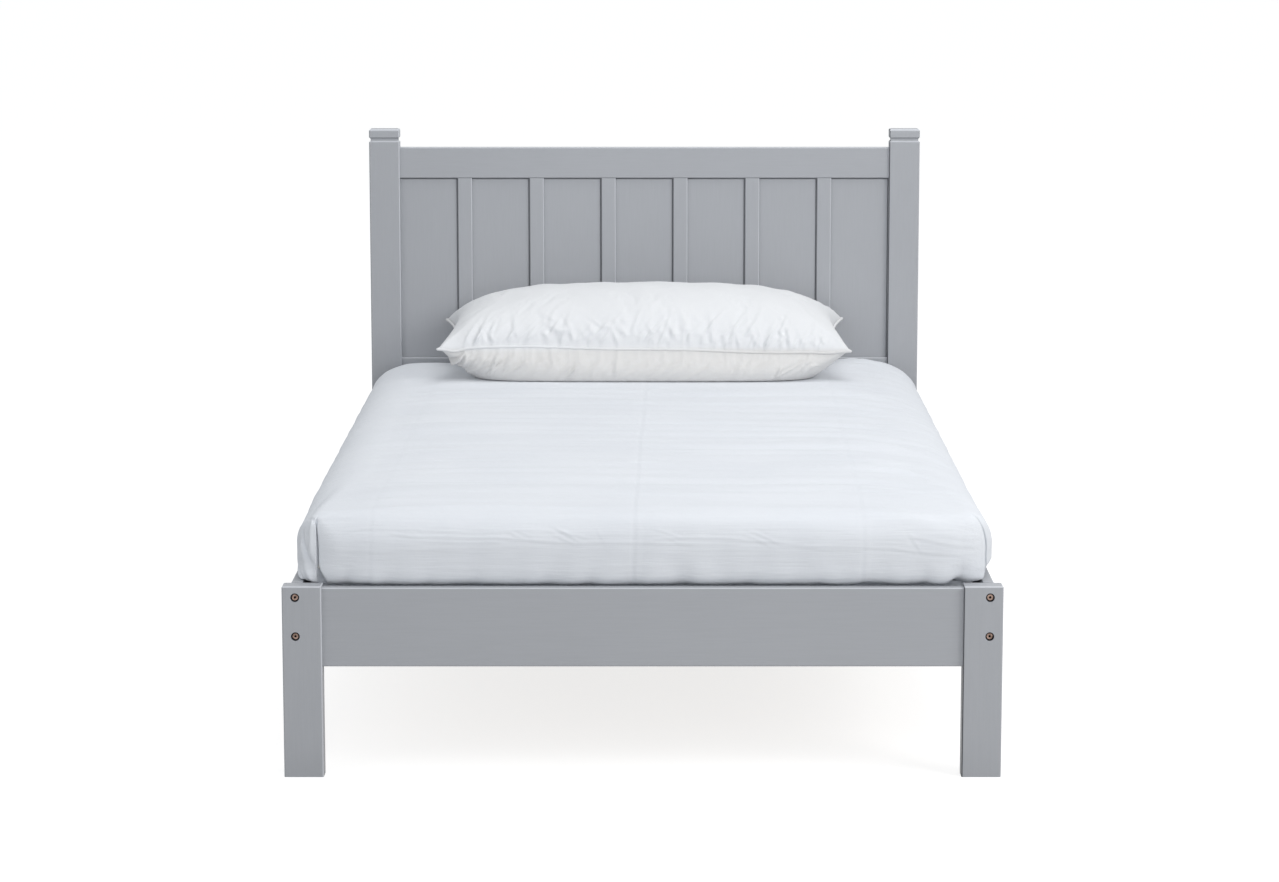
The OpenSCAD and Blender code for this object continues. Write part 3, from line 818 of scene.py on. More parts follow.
@dataclass(frozen=True)
class BedOutline:
    """Plan and profile that mattress and sheet share: a rounded slab that swells out over the rails.

    Its box is that of the mattress's solid, and the swell starts just above the side rails.
    """

    low: Array = field(default_factory=lambda: node_box("mattress")[0])
    high: Array = field(default_factory=lambda: node_box("mattress")[1])
    rail: Array = field(default_factory=lambda: node_box("side_rail_left")[1])
    seat: float = 0.0003
    corner: float = 0.0639
    least_corner: float = 0.02
    side_swell: float = 0.028
    foot_swell: float = 0.009
    swell_rise: float = 0.028
    edge_w: float = 0.112
    foot_edge_w: float = 0.046
    corner_edge_w: float = 0.056
    squarer: Band = Band(-0.45, -0.93)
    edge_h: float = 0.062
    crown: float = 0.005
    step_end: float = 0.6836
    under: float = 0.016

    @property
    def half_width(self) -> float:
        """Half the width between the side rails."""
        return self.high[0] - self.side_swell

    @property
    def base(self) -> float:
        """Height of the underside above the floor."""
        return self.low[2]

    @property
    def thick(self) -> float:
        """Height of the middle of the top over the underside."""
        return self.high[2] - self.low[2]

    @property
    def swell_from(self) -> float:
        """Height over the underside at which the swell starts."""
        return self.rail[2] + self.seat - self.base

    def profile(self, tuck: float) -> Array:
        """Dense profile: flat top, slope, quarter ellipse, cosine swell, wall, quarter circle, underside.

        Args:
            tuck: How far in under the slab the profile runs.

        Returns:
            Rows of the inset at the sides and at the foot without the swell, share of the swell that is
            drawn in, and height.
        """
        a = np.linspace(0, math.pi / 2, 40)
        slope = np.linspace(0, 1, 12)
        flat = np.linspace(self.half_width + self.side_swell, 2 * self.edge_w, 30)
        drop = self.crown * ease(slope, 0.0, 1.6) / self.step_end
        inner = self.under * (1 - np.cos(a))
        tucked = self.under + tuck * slope
        falling = np.linspace(self.swell_from, self.under, 40)
        rows = [
            [flat, flat + 2 * (self.foot_edge_w - self.edge_w), 0 * flat, self.thick + 0 * flat],
            [self.edge_w * (2 - slope), self.foot_edge_w * (2 - slope), 0 * slope, self.thick - drop],
            [self.edge_w * (1 - np.sin(a)), self.foot_edge_w * (1 - np.sin(a)), 0 * a,
             self.thick - self.crown - self.edge_h * (1 - np.cos(a))],
            [0 * a, 0 * a, 1 - np.cos(a), self.swell_from + self.swell_rise * (1 - np.sin(a))],
            [0 * a, 0 * a, 1 + 0 * a, falling],
            [inner, inner, 1 + 0 * a, self.under * (1 - np.sin(a))],
            [tucked, tucked, 1 + 0 * slope, 0 * slope],
        ]
        return np.concatenate([np.stack(row) for row in rows], 1)

    def crosscut(self, tuck: float, counts: dict[float, int]) -> Crosscut:
        """Stations along the profile, with normals from the chord over a short stretch to each side.

        Args:
            tuck: How far in under the slab the profile runs.
            counts: For each share of the profile's length, the number of even stations that end there.

        Returns:
            The stations.
        """
        stretch = 0.002
        inset, inset_foot, drawn, height = self.profile(tuck)
        side = inset + drawn * self.side_swell
        run = np.concatenate([[0], np.cumsum(np.hypot(np.diff(side), np.diff(height)))])
        keep = np.concatenate([[True], np.diff(run) > 1e-9])
        rows = (run, inset, inset_foot, drawn, height, side)
        run, inset, inset_foot, drawn, height, side = (row[keep] for row in rows)
        stops = [0.0, *counts]
        at = np.append(spread(stops, list(counts.values())), stops[-1]) * run[-1]
        near, far = np.clip(at - stretch, 0, run[-1]), np.clip(at + stretch, 0, run[-1])
        d_side = np.interp(far, run, side) - np.interp(near, run, side)
        d_height = np.interp(far, run, height) - np.interp(near, run, height)
        chord = np.hypot(d_side, d_height)
        rows = (inset, inset_foot, drawn, height)
        inset, inset_foot, drawn, height = (np.interp(at, run, row) for row in rows)
        return Crosscut(inset + drawn * self.side_swell, inset_foot + drawn * self.foot_swell, height,
                        -d_height / chord, -d_side / chord)

    def rings(self, cut: Crosscut, way: "RingWay", tau: Array, let_out: Array) -> Array:
        """Rounded rectangles, one for each station, shrinking to a line at the middle of the top.

        A point is a corner's centre, or lies between two of them, plus the corner's radius along the
        outward normal. Towards the foot the rounded edge narrows, which moves its points out.

        Args:
            cut: The stations.
            way: The way round a ring.
            tau: For each station and place on the ring, the outward normal's angle.
            let_out: For each station and place, the distance that the point is moved along the normal.

        Returns:
            Points, by station and place.
        """
        x = self.half_width + self.side_swell - cut.side
        y0 = self.low[1] + cut.foot
        y1 = self.high[1] - np.maximum(cut.side - self.side_swell, 0)
        r = np.maximum(self.corner + self.side_swell - cut.side, self.least_corner)
        r = np.minimum(r, np.maximum(x, 0))
        cx = np.stack([x - r, r - x, r - x, x - r], 1)
        cy = np.stack([y1 - r, y1 - r, y0 + r, y0 + r], 1)
        c, s = np.cos(tau), np.sin(tau)
        px = cx[:, way.first] * (1 - way.share) + cx[:, way.second] * way.share + r[:, None] * c
        py = cy[:, way.first] * (1 - way.share) + cy[:, way.second] * way.share + r[:, None] * s
        out, up = cut.out[:, None] * let_out, cut.up[:, None] * let_out
        swollen = self.side_swell * (cut.height < self.swell_from)
        top = np.clip((cut.side - swollen) / self.edge_w, 0, 1)[:, None]
        wider = (self.edge_w - self.corner_edge_w) * self.squarer.at(py)
        px = px + wider * top * np.clip(px / 0.5, -1, 1)
        return np.stack([px + out * c, py + out * s, self.base + cut.height[:, None] + up], -1)


@dataclass(frozen=True)
class Fold:
    """Fold of the sheet at a foot corner, across the quarter turn between a side and the foot.

    The upper layer comes over the corner as far as its edge, stands a little proud there, rolls over into a
    narrow gap and turns under. The lower layer rises out of the gap. Low down, it draws away from it.
    """

    edge: float
    proud: float
    sunk: float
    gap: float
    opening: float
    deep: float = -1.9

    def places(self) -> tuple[Array, Array, Array, Array]:
        """Places across the corner.

        Returns:
            Share of the turn, lift in units of the fold's height, how far the place draws away below, and
            whether it is on the upper layer.
        """
        e, p, s, g = self.edge, self.proud, self.sunk, self.gap
        counts = (5, 24, 5, 4, 3, 5, 8, 4)
        share = spread((0, e - 0.34, e - 0.05, e, e - 0.02, e + g + 0.02, e + g, e + 0.25, 1), counts)
        lift = spread((0, 0.02 * p, p, 0.72 * p, self.deep, self.deep, s, 0.25 * s, 0), counts)
        number = np.arange(len(share))
        away = self.opening * ease(share, 1.0, e + 0.1) * (number > sum(counts[:4]))
        return share, lift, away, number < sum(counts[:3])


@dataclass(frozen=True)
class RingWay:
    """Places round a ring: the corner centres before and after each, the share of the way, and the angle.

    At a fold, the angle also has its folded value, the lift there, and how far the place draws away below.
    The flap is the share of the turn on the upper layer of the left fold, and two elsewhere.
    """

    first: Array
    second: Array
    share: Array
    angle: Array
    fold_angle: Array
    fold_lift: Array
    opening: Array
    flap: Array

    @staticmethod
    def laid(side: int, head: int, foot: int, corner: int, folds: tuple[Fold, ...] = ()) -> "RingWay":
        """Lays the places out, from the right side round by the head, the left and the foot.

        Args:
            side: Number of places along a long side.
            head: Number of places along the head.
            foot: Number of places along the foot.
            corner: Number of places round a corner without a fold.
            folds: The folds at the left and the right foot corner, if there are any. The upper layer of the
                first comes from the side, and that of the second from the foot.

        Returns:
            The places.
        """
        rows = []
        quarter = math.pi / 2
        for number, (count, start) in enumerate([(side, 3), (head, 0), (side, 1), (foot, 2)]):
            s = np.linspace(0, 1, count, endpoint=False)
            turn, into = number * quarter, (start + 1) % 4
            o = 0 * s
            rows.append([start + o, into + o, s, turn + o, turn + o, o, o, o + 2])
            g = spread((0, 1), (corner,))
            lift = away = upper = 0 * g
            if folds and into > 1:
                g, lift, away, upper = folds[into - 2].places()
            f = np.linspace(0, 1, len(g), endpoint=False)
            o, flap = 0 * f, np.where(upper * (into == 2), g, 2)
            plain, folded = turn + f * quarter, turn + g * quarter
            rows.append([into + o, into + o, o, plain, folded, lift, away * quarter, flap])
        first, second, share, *others = (np.concatenate(column) for column in zip(*rows))
        return RingWay(first.astype(int), second.astype(int), share, *others)


# The mattress


@dataclass
class Mattress:
    """The mattress under the sheet: a quilted slab, let in where the folds of the sheet need room."""

    outline: BedOutline = field(default_factory=BedOutline)
    body: str = "made_up_mattress"
    quilt: float = 0.055
    stitch: float = 0.22
    depth: float = 0.0025
    clear: float = 0.0015
    let_in_top: float = 0.003
    let_in_wall: float = 0.013
    let_in_hem: float = 0.040
    on_wall: Band = Band(0.05, 0.5)
    hem_starts: Band = Band(0.385, 0.366)
    hem_ends: Band = Band(0.316, 0.329)
    faces_foot: Band = Band(0.3, 0.8)
    stations: dict[float, int] = field(
        default_factory=lambda: {0.34: 44, 0.46: 16, 0.60: 22, 0.66: 8, 1.0: 46})
    places: tuple[int, int, int, int] = (110, 45, 90, 10)

    def make(self) -> bpy.types.Object:
        """Makes the slab: rings of the outline, sunk along the quilting's lines and let in under the sheet.

        Returns:
            The slab.
        """
        full = self.outline.half_width - self.outline.under
        cut = self.outline.crosscut(full, self.stations)
        way = RingWay.laid(*self.places)
        tau = np.broadcast_to(way.angle, (len(cut.side), len(way.angle)))
        flat = self.outline.rings(cut, way, tau, np.full(tau.shape, -self.clear))
        x, y = flat[..., 0], flat[..., 1]
        a, b = np.sin((x + y) * math.pi / self.quilt), np.sin((x - y) * math.pi / self.quilt)
        seam = np.maximum(bell(a, self.stitch), bell(b, self.stitch)) * np.abs(cut.up[:, None])
        z = self.outline.base + cut.height
        hem = (self.hem_starts.at(z) * self.hem_ends.at(z))[:, None] * self.faces_foot.at(-np.sin(tau))
        wall = self.on_wall.at(cut.out)[:, None]
        hidden = self.let_in_top + (self.let_in_wall + self.let_in_hem * hem) * wall
        points = self.outline.rings(cut, way, tau, -self.clear - self.depth * seam - hidden)
        quads = grid_faces(len(cut.side), len(way.angle), True)[:, ::-1]
        slab = make_piece("mattress_slab", points, quads, merge=0.0004)
        slab.data.materials.append(Ticking().material())
        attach(slab, self.body)
        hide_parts("mattress")
        log.info("mattress: %d faces", len(slab.data.polygons))
        return slab


# The tucked sheet


@dataclass(frozen=True)
class Rumple:
    """A soft ridge in the cloth: a bell across a slightly bent line, fading out towards both ends."""

    x: float
    y: float
    angle: float
    reach: float
    width: float
    height: float
    bend: float = 0.0

    def at(self, x: Array, y: Array) -> Array:
        """Height of the ridge.

        Args:
            x: Positions across the bed.
            y: Positions along the bed.

        Returns:
            The height at each position.
        """
        c, s = math.cos(self.angle), math.sin(self.angle)
        u = (x - self.x) * c + (y - self.y) * s
        v = (y - self.y) * c - (x - self.x) * s - self.bend * u * u
        return self.height * bell(v, self.width) * np.clip(1 - (u / self.reach) ** 2, 0, 1) ** 2


@dataclass(frozen=True)
class Pull:
    """A pulled line in the foot face: a narrow ridge with a groove below it, along a bent line.

    The ridge is a bell of the height's distance from the line, and the groove is one a little lower, 0.6 as
    strong. The points are places across the bed and heights above the floor.
    """

    line: tuple[tuple[float, float], ...]
    height: float
    width: float = 0.0023

    def at(self, x: Array, z: Array) -> Array:
        """Height of the ridge.

        Args:
            x: Positions across the bed.
            z: Heights above the floor.

        Returns:
            The height at each position.
        """
        xs, zs = np.array(self.line).T
        slope = (zs[-1] - zs[0]) / (xs[-1] - xs[0])
        off = (z - np.interp(x, xs, zs)) / math.hypot(1.0, slope)
        ends = ease(x, xs[0] - 0.006, xs[0] + 0.012) * ease(x, xs[-1] + 0.006, xs[-1] - 0.012)
        return self.height * ends * (bell(off, self.width) - 0.6 * bell(off + 2 * self.width, self.width))


@dataclass(frozen=True)
class FlapFold:
    """A fold on the left corner's upper layer: a bell across a line that fades out beyond its ends.

    The points of the line are heights above the floor and shares of the corner's turn.
    """

    height: float
    width: float
    line: tuple[tuple[float, float], ...]

    def at(self, flap: Array, z: Array) -> Array:
        """Height of the fold.

        Args:
            flap: Shares of the turn.
            z: Heights above the floor.

        Returns:
            The height at each position.
        """
        zs, shares = np.array(self.line).T
        ends = ease(z, zs[0] - 0.012, zs[0] + 0.006) * ease(z, zs[-1] + 0.012, zs[-1] - 0.008)
        return self.height * ends * bell(flap - np.interp(z, zs, shares), self.width)


@dataclass(frozen=True)
class DrawnCorner:
    """Where the tight sheet is drawn in at a foot corner: a depth, and how it comes in along each axis."""

    depth: float
    across: Band
    along: Band
    down: Band

    def at(self, x: Array, y: Array, z: Array) -> Array:
        """Distance drawn in at each position."""
        return self.depth * self.across.at(x) * self.along.at(y) * self.down.at(z)


@dataclass
class TuckedSheet:
    """White sheet drawn over the mattress, folded at the foot corners and tucked in all round.

    The heights of its bands are above the floor. On the foot face the cloth turns in at a wavy line above
    the rail, and comes out to the full outline again below the rail's top.
    """

    outline: BedOutline = field(default_factory=BedOutline)
    body: str = "made_up_mattress"
    flat_size: tuple[float, float] = (1.89, 2.55)
    stations: dict[float, int] = field(
        default_factory=lambda: {0.40: 18, 0.52: 12, 0.55: 5, 0.58: 7, 0.70: 44, 0.73: 5, 0.775: 25,
                                 0.84: 8, 1.0: 3})
    places: tuple[int, int, int, int] = (150, 30, 318, 8)
    over: float = 0.0012
    tuck: float = 0.140
    wall_level: Band = Band(0.41, 0.39)
    on_wall: Band = Band(0.25, 0.85)
    faces_foot: Band = Band(0.55, 0.95)

    fold: float = 0.0085
    folds: tuple[Fold, Fold] = (Fold(0.66, 0.50, -0.10, 0.03, 0.13), Fold(0.57, 0.45, -0.30, 0.11, 0.04))
    fold_turns: Band = Band(0.463, 0.447)
    fold_stands: Band = Band(0.463, 0.444)
    fold_pressed: float = 0.12
    fold_frees: Band = Band(0.338, 0.352)
    gap_opens: Band = Band(0.378, 0.345)
    flap_folds: tuple[FlapFold, ...] = (
        FlapFold(0.0034, 0.040, ((0.392, 0.600), (0.425, 0.580), (0.452, 0.555))),
        FlapFold(-0.0050, 0.036, ((0.372, 0.630), (0.390, 0.520), (0.417, 0.400), (0.436, 0.340))),
        FlapFold(0.0040, 0.045, ((0.344, 0.620), (0.361, 0.555), (0.380, 0.465), (0.408, 0.375))),
        FlapFold(-0.0042, 0.032, ((0.342, 0.475), (0.3665, 0.350), (0.375, 0.310))),
    )
    left_drawn: DrawnCorner = DrawnCorner(
        0.0065, Band(-0.45, -0.58), Band(-0.50, -0.85), Band(0.466, 0.456))
    right_drawn: DrawnCorner = DrawnCorner(
        0.009, Band(0.50, 0.59), Band(-0.80, -0.90), Band(0.376, 0.358))

    hem: float = 0.3415
    hem_waves: tuple[Swell, ...] = (
        Swell(-0.522, 0.010, 0.004), Swell(-0.484, 0.010, 0.004), Swell(-0.300, 0.040, 0.002),
        Swell(0.082, 0.022, 0.004), Swell(0.176, 0.022, 0.004), Swell(0.310, 0.030, 0.003),
        Swell(0.414, 0.032, 0.006), Swell(0.500, 0.014, 0.007), Swell(0.560, 0.022, 0.014),
    )
    roll: float = 0.036
    drawn_in: float = 0.018
    turned_in: float = 0.048
    crease: float = 0.006
    full_size: Band = Band(0.317, 0.329)
    low_down: Band = Band(0.380, 0.352)
    near_hem: Band = Band(0.3435, 0.3475)
    bulge_foot: float = 0.003
    bulge_corner: float = 0.011
    faces_corner: Band = Band(0.15, 0.60)
    sag: float = 0.0045
    sag_ends: Band = Band(0.3380, 0.3440)

    foot_folds_end: Band = Band(0.341, 0.350)
    foot_gathers: Band = Band(0.400, 0.352)
    side_folds_end: Band = Band(0.343, 0.356)
    side_gathers: Band = Band(0.445, 0.36)
    seed: int = 11
    pillow_front: float = 0.600
    head_swells: tuple[Swell, Swell] = (Swell(0.48, 0.085, 0.0115), Swell(-0.49, 0.06, 0.003))

    def streaks(self) -> list[Rumple]:
        """Soft folds across the bed, most of them faint, and a few that bend towards the right side.

        Returns:
            The folds.
        """
        rng = np.random.default_rng(self.seed)
        made = []
        for y in np.linspace(-0.90, 0.60, 26):
            made.append(Rumple(rng.uniform(-0.40, 0.40), y + rng.uniform(-0.025, 0.025),
                               rng.uniform(-0.05, 0.04), rng.uniform(0.30, 0.85), rng.uniform(0.013, 0.024),
                               rng.uniform(0.0020, 0.0042), rng.uniform(-0.07, 0.04)))
        for y in (-0.72, -0.46, -0.21, 0.02, 0.26, 0.44):
            made.append(Rumple(0.43, y, rng.uniform(-0.25, -0.05), 0.24, 0.017, 0.0055, -0.55))
        return made

    def pulls(self) -> list[Pull]:
        """Pulled lines on the foot face, where the mattress's edge shows through, and short ones across.

        Returns:
            The lines.
        """
        return [
            Pull(((-0.507, 0.4440), (-0.404, 0.4410), (-0.298, 0.4370), (-0.225, 0.4375)), 0.00065),
            Pull(((-0.380, 0.4470), (-0.300, 0.4430), (-0.180, 0.4400), (-0.130, 0.4380)), 0.00055),
            Pull(((-0.448, 0.4350), (-0.404, 0.4290), (-0.321, 0.4275), (-0.253, 0.4270), (-0.200, 0.4230),
                  (-0.120, 0.4170), (-0.060, 0.4185), (0.090, 0.4170)), 0.00080),
            Pull(((-0.410, 0.4230), (-0.330, 0.4190), (-0.250, 0.4200)), 0.00045),
            Pull(((0.020, 0.4250), (0.066, 0.4270), (0.141, 0.4270), (0.185, 0.4230), (0.226, 0.4200),
                  (0.306, 0.4110), (0.380, 0.4110), (0.439, 0.4090), (0.483, 0.4020), (0.527, 0.3990),
                  (0.570, 0.3960)), 0.00075),
            Pull(((0.240, 0.4130), (0.320, 0.4060), (0.390, 0.4050)), 0.00045),
            Pull(((-0.167, 0.4520), (-0.145, 0.4400), (-0.112, 0.4210)), 0.00100),
            Pull(((-0.152, 0.4420), (-0.128, 0.4330), (-0.096, 0.4270)), 0.00075),
            Pull(((-0.158, 0.4350), (-0.140, 0.4250), (-0.118, 0.4170)), 0.00070),
            Pull(((0.018, 0.4420), (0.040, 0.4360), (0.070, 0.4250)), 0.00080),
            Pull(((0.024, 0.4330), (0.046, 0.4280), (0.066, 0.4180)), 0.00065),
            Pull(((0.186, 0.4400), (0.208, 0.4320), (0.240, 0.4180)), 0.00075),
            Pull(((0.180, 0.4320), (0.200, 0.4260), (0.226, 0.4120)), 0.00065),
            Pull(((0.196, 0.4460), (0.222, 0.4360)), 0.00050),
            Pull(((0.462, 0.4480), (0.474, 0.4280), (0.492, 0.4020)), 0.00080),
            Pull(((-0.450, 0.4530), (-0.430, 0.4410)), 0.00050),
            Pull(((-0.404, 0.4460), (-0.384, 0.4350)), 0.00060),
            Pull(((-0.240, 0.4390), (-0.214, 0.4270)), 0.00070),
            Pull(((-0.228, 0.4430), (-0.206, 0.4330)), 0.00060),
            Pull(((-0.215, 0.4380), (-0.196, 0.4290)), 0.00055),
            Pull(((-0.088, 0.4530), (-0.066, 0.4180)), 0.00050),
            Pull(((-0.580, 0.4570), (-0.520, 0.4575), (-0.440, 0.4560)), 0.00080, 0.0030),
            Pull(((0.470, 0.4300), (0.530, 0.4180), (0.590, 0.4080)), 0.00060, 0.0030),
        ]

    def top_lift(self, x: Array, y: Array) -> Array:
        """Height of the folds over the top, which fade out at the sides and under the pillow.

        The folds bend towards the foot at the right. At the head end the cloth swells beside the pillow.

        Args:
            x: Positions across the bed.
            y: Positions along the bed.

        Returns:
            The height at each position.
        """
        bent = y + 1.6 * np.clip(x - 0.30, 0, None) ** 2 + 0.015 * np.sin(7 * x)
        lift = 0.0013 * ripples(0.30 * x, bent, 3, 16, 0.060, 0.20, 0.20)
        lift = lift + 0.0009 * ripples(x, y, 4, 6, 0.3, 0.7, 1.2)
        for streak in self.streaks():
            lift = lift + streak.at(x, bent)
        edges = 0.7 * ease(x, 0.47, 0.56) + 0.88 * ease(-x, 0.44, 0.55)
        lift = np.maximum(1.25 * lift, -0.0025) * (1 - edges)
        behind = ease(y, self.pillow_front - 0.08, self.pillow_front - 0.03)
        lift = lift * (1 - behind * ease(np.abs(x), 0.50, 0.42))
        return lift + ease(y, 0.70, 0.87) * sum(swell.at(x) for swell in self.head_swells)

    def foot_lift(self, x: Array, z: Array) -> Array:
        """Height of the folds on the foot face, and how far it turns in below them.

        Above the hem the cloth rolls in as a quarter of an ellipse, and a step takes it in to the crease.

        Args:
            x: Positions across the bed.
            z: Heights above the floor.

        Returns:
            The height at each position, negative where the cloth turns in.
        """
        lift = 0.0006 * ripples(z * 0.3, x, 5, 10, 0.06, 0.25, 0.5)
        lift = lift + 0.0010 * self.foot_gathers.at(z) * ripples(z * 0.2, x, 9, 8, 0.05, 0.12, 0.4)
        for ridge in self.pulls():
            lift = lift + ridge.at(x, z)
        turn = self.hem + 0.0016 * ripples(0 * x, x, 12, 8, 0.04, 0.20, 0.1)
        for wave in self.hem_waves:
            turn = turn + wave.at(x)
        down = np.clip((turn + self.roll - z) / self.roll, 0, 1)
        rolled = self.drawn_in * (1 - np.sqrt(1 - down * down))
        inside = (self.turned_in - self.drawn_in) * ease(z, turn, turn - self.crease)
        return lift * self.foot_folds_end.at(z) - (rolled + inside) * self.full_size.at(z)

    def side_lift(self, y: Array, z: Array) -> Array:
        """Height of the folds on the long sides: gathers that fan up from the tuck.

        Args:
            y: Positions along the bed.
            z: Heights above the floor.

        Returns:
            The height at each position.
        """
        gathers = 0.0016 * self.side_gathers.at(z) * ripples(z * 0.5, y, 7, 12, 0.06, 0.2, 0.5)
        return gathers + 0.0005 * ripples(z, y, 8, 8, 0.1, 0.4, 0.6)

    def drawn(self, x: Array, y: Array, z: Array, foot: Array) -> Array:
        """How far the cloth is drawn in at the two foot corners, at the right one on the side alone."""
        return self.left_drawn.at(x, y, z) + self.right_drawn.at(x, y, z) * (1 - foot)

    def points(self, cut: Crosscut, way: RingWay) -> Array:
        """Rings over the outline, turned at the folds and lifted along the normal.

        Args:
            cut: The stations.
            way: The way round a ring.

        Returns:
            Points, by station and place.
        """
        level = (self.outline.base + cut.height)[:, None]
        shown = np.arange(len(level))[:, None] < np.argmin(level)
        turned = np.where(shown, self.fold_turns.at(level), 1.0)
        opened = np.where(shown, self.gap_opens.at(level), 1.0)
        tau = way.angle + (way.fold_angle + way.opening * opened - way.angle) * turned
        plain = self.outline.rings(cut, way, tau, np.full(tau.shape, self.over))
        x, y, z = plain[..., 0], plain[..., 1], plain[..., 2]
        facing = -np.sin(tau)
        foot = self.faces_foot.at(facing)
        corner = self.faces_corner.at(facing) * (1 - foot)
        low = self.low_down.at(z) * shown
        wall = np.where(shown, self.on_wall.at(cut.out[:, None]), 1.0)
        side = self.side_lift(y, z) * np.where(shown, self.side_folds_end.at(level), 0.0)
        front = self.foot_lift(x, z) * shown
        lift = self.top_lift(x, y) * (1 - wall) + wall * (front * foot + side * (1 - foot))
        lift = lift + low * self.near_hem.at(z) * (self.bulge_foot * foot + self.bulge_corner * corner)
        stands = self.fold_pressed + (1 - self.fold_pressed) * self.fold_frees.at(level)
        stands = np.where(shown, self.fold_stands.at(level) * stands, 0.0)
        lift = lift - self.drawn(x, y, z, foot) + self.fold * way.fold_lift * stands
        for flap_fold in self.flap_folds:
            lift = lift + flap_fold.at(way.flap, z) * shown
        points = self.outline.rings(cut, way, tau, self.over + lift)
        points[..., 2] -= self.sag * foot * low * self.sag_ends.at(z)
        return points

    def flat(self, cut: Crosscut, way: RingWay) -> Array:
        """Cloth coordinates: plan position at the middle of the top, going on out by the profile's length.

        Args:
            cut: The stations.
            way: The way round a ring.

        Returns:
            Flat coordinates, by station and place.
        """
        run = np.concatenate([[0], np.cumsum(np.hypot(np.diff(cut.side), np.diff(cut.height)))])
        reach = self.outline.half_width + self.outline.side_swell
        grown = Crosscut(reach - run, reach - run, 0 * run, cut.out, cut.up)
        tau = np.broadcast_to(way.angle, (len(run), len(way.angle)))
        return self.outline.rings(grown, way, tau, np.zeros(tau.shape))[..., :2]

    def make(self) -> bpy.types.Object:
        """Makes the sheet.

        Returns:
            The sheet.
        """
        cut = self.outline.crosscut(self.tuck, self.stations)
        z = self.outline.base + cut.height
        level = np.where(np.arange(len(z)) < np.argmin(z), self.wall_level.at(z), 0.0)
        cut = replace(cut, out=cut.out + (1 - cut.out) * level, up=cut.up * (1 - level))
        way = RingWay.laid(*self.places, self.folds)
        quads = grid_faces(len(z), len(way.angle), True)[:, ::-1]
        sheet = make_piece("sheet_cloth", self.points(cut, way), quads, self.flat(cut, way), merge=0.0002)
        creases = ((-0.465, 0.25), (0.0, 0.45), (0.405, 0.28))
        cotton = Cotton("sheet_cotton", (0.785, 0.810, 0.850), (0.722, 0.750, 0.800), creases=creases)
        sheet.data.materials.append(cotton.material())
        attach(sheet, self.body)
        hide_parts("sheet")
        log.info("sheet: %d faces", len(sheet.data.polygons))
        return sheet


# The pillow


@dataclass(frozen=True)
class Puckers:
    """Small crisp folds that run in from a seam, most of them left of the middle.

    Each is a bell across the seam's direction with a shallower groove beside it. It leans and bends, rises
    just off the seam and fades with the distance from it.
    """

    seed: int
    count: int
    height: float
    lean: float
    within: tuple[float, float] | None = None
    start: float = 0.0
    wider: float = 1.0
    longest: float = 0.060

    def at(self, x: Array, away: Array) -> Array:
        """Height of the folds.

        Args:
            x: Positions along the seam.
            away: Distances in from the seam.

        Returns:
            The height at each position.
        """
        rng = np.random.default_rng(self.seed)
        total = np.zeros(x.shape)
        for _ in range(self.count):
            at = rng.uniform(-0.40, 0.14) if rng.random() < 0.72 else rng.uniform(0.14, 0.41)
            at = rng.uniform(*self.within) if self.within else at
            wide = rng.uniform(0.0028, 0.0060) * self.wider
            long = rng.uniform(0.014, self.longest)
            slope = self.lean + rng.normal(0, 0.40)
            bend = rng.uniform(-4, 4)
            tall = rng.uniform(0.2, 1.0) ** 1.5 * self.height
            begin = self.start + max(0.0, rng.uniform(-0.04, 0.04))
            off = x - at - slope * (away - self.start) - bend * (away - self.start) ** 2
            shape = bell(off, wide) - 0.5 * bell(off + 1.9 * wide, wide)
            fading = bell(np.clip(away - begin, 0, None), long)
            total += tall * shape * ease(away, begin, begin + 0.008 * self.wider) * fading
        return total


@dataclass(frozen=True)
class EndFold:
    """A long fold that runs in from the front seam near the left end, leaning to the right."""

    start: float
    slope: float
    height: float
    width: float = 0.005
    length: float = 0.06

    def at(self, x: Array, away: Array) -> Array:
        """Height of the fold at positions along the seam and distances in from it."""
        off = x - self.start - self.slope * away
        return self.height * bell(off, self.width) * ease(away, 0, 0.008) * bell(away, self.length)


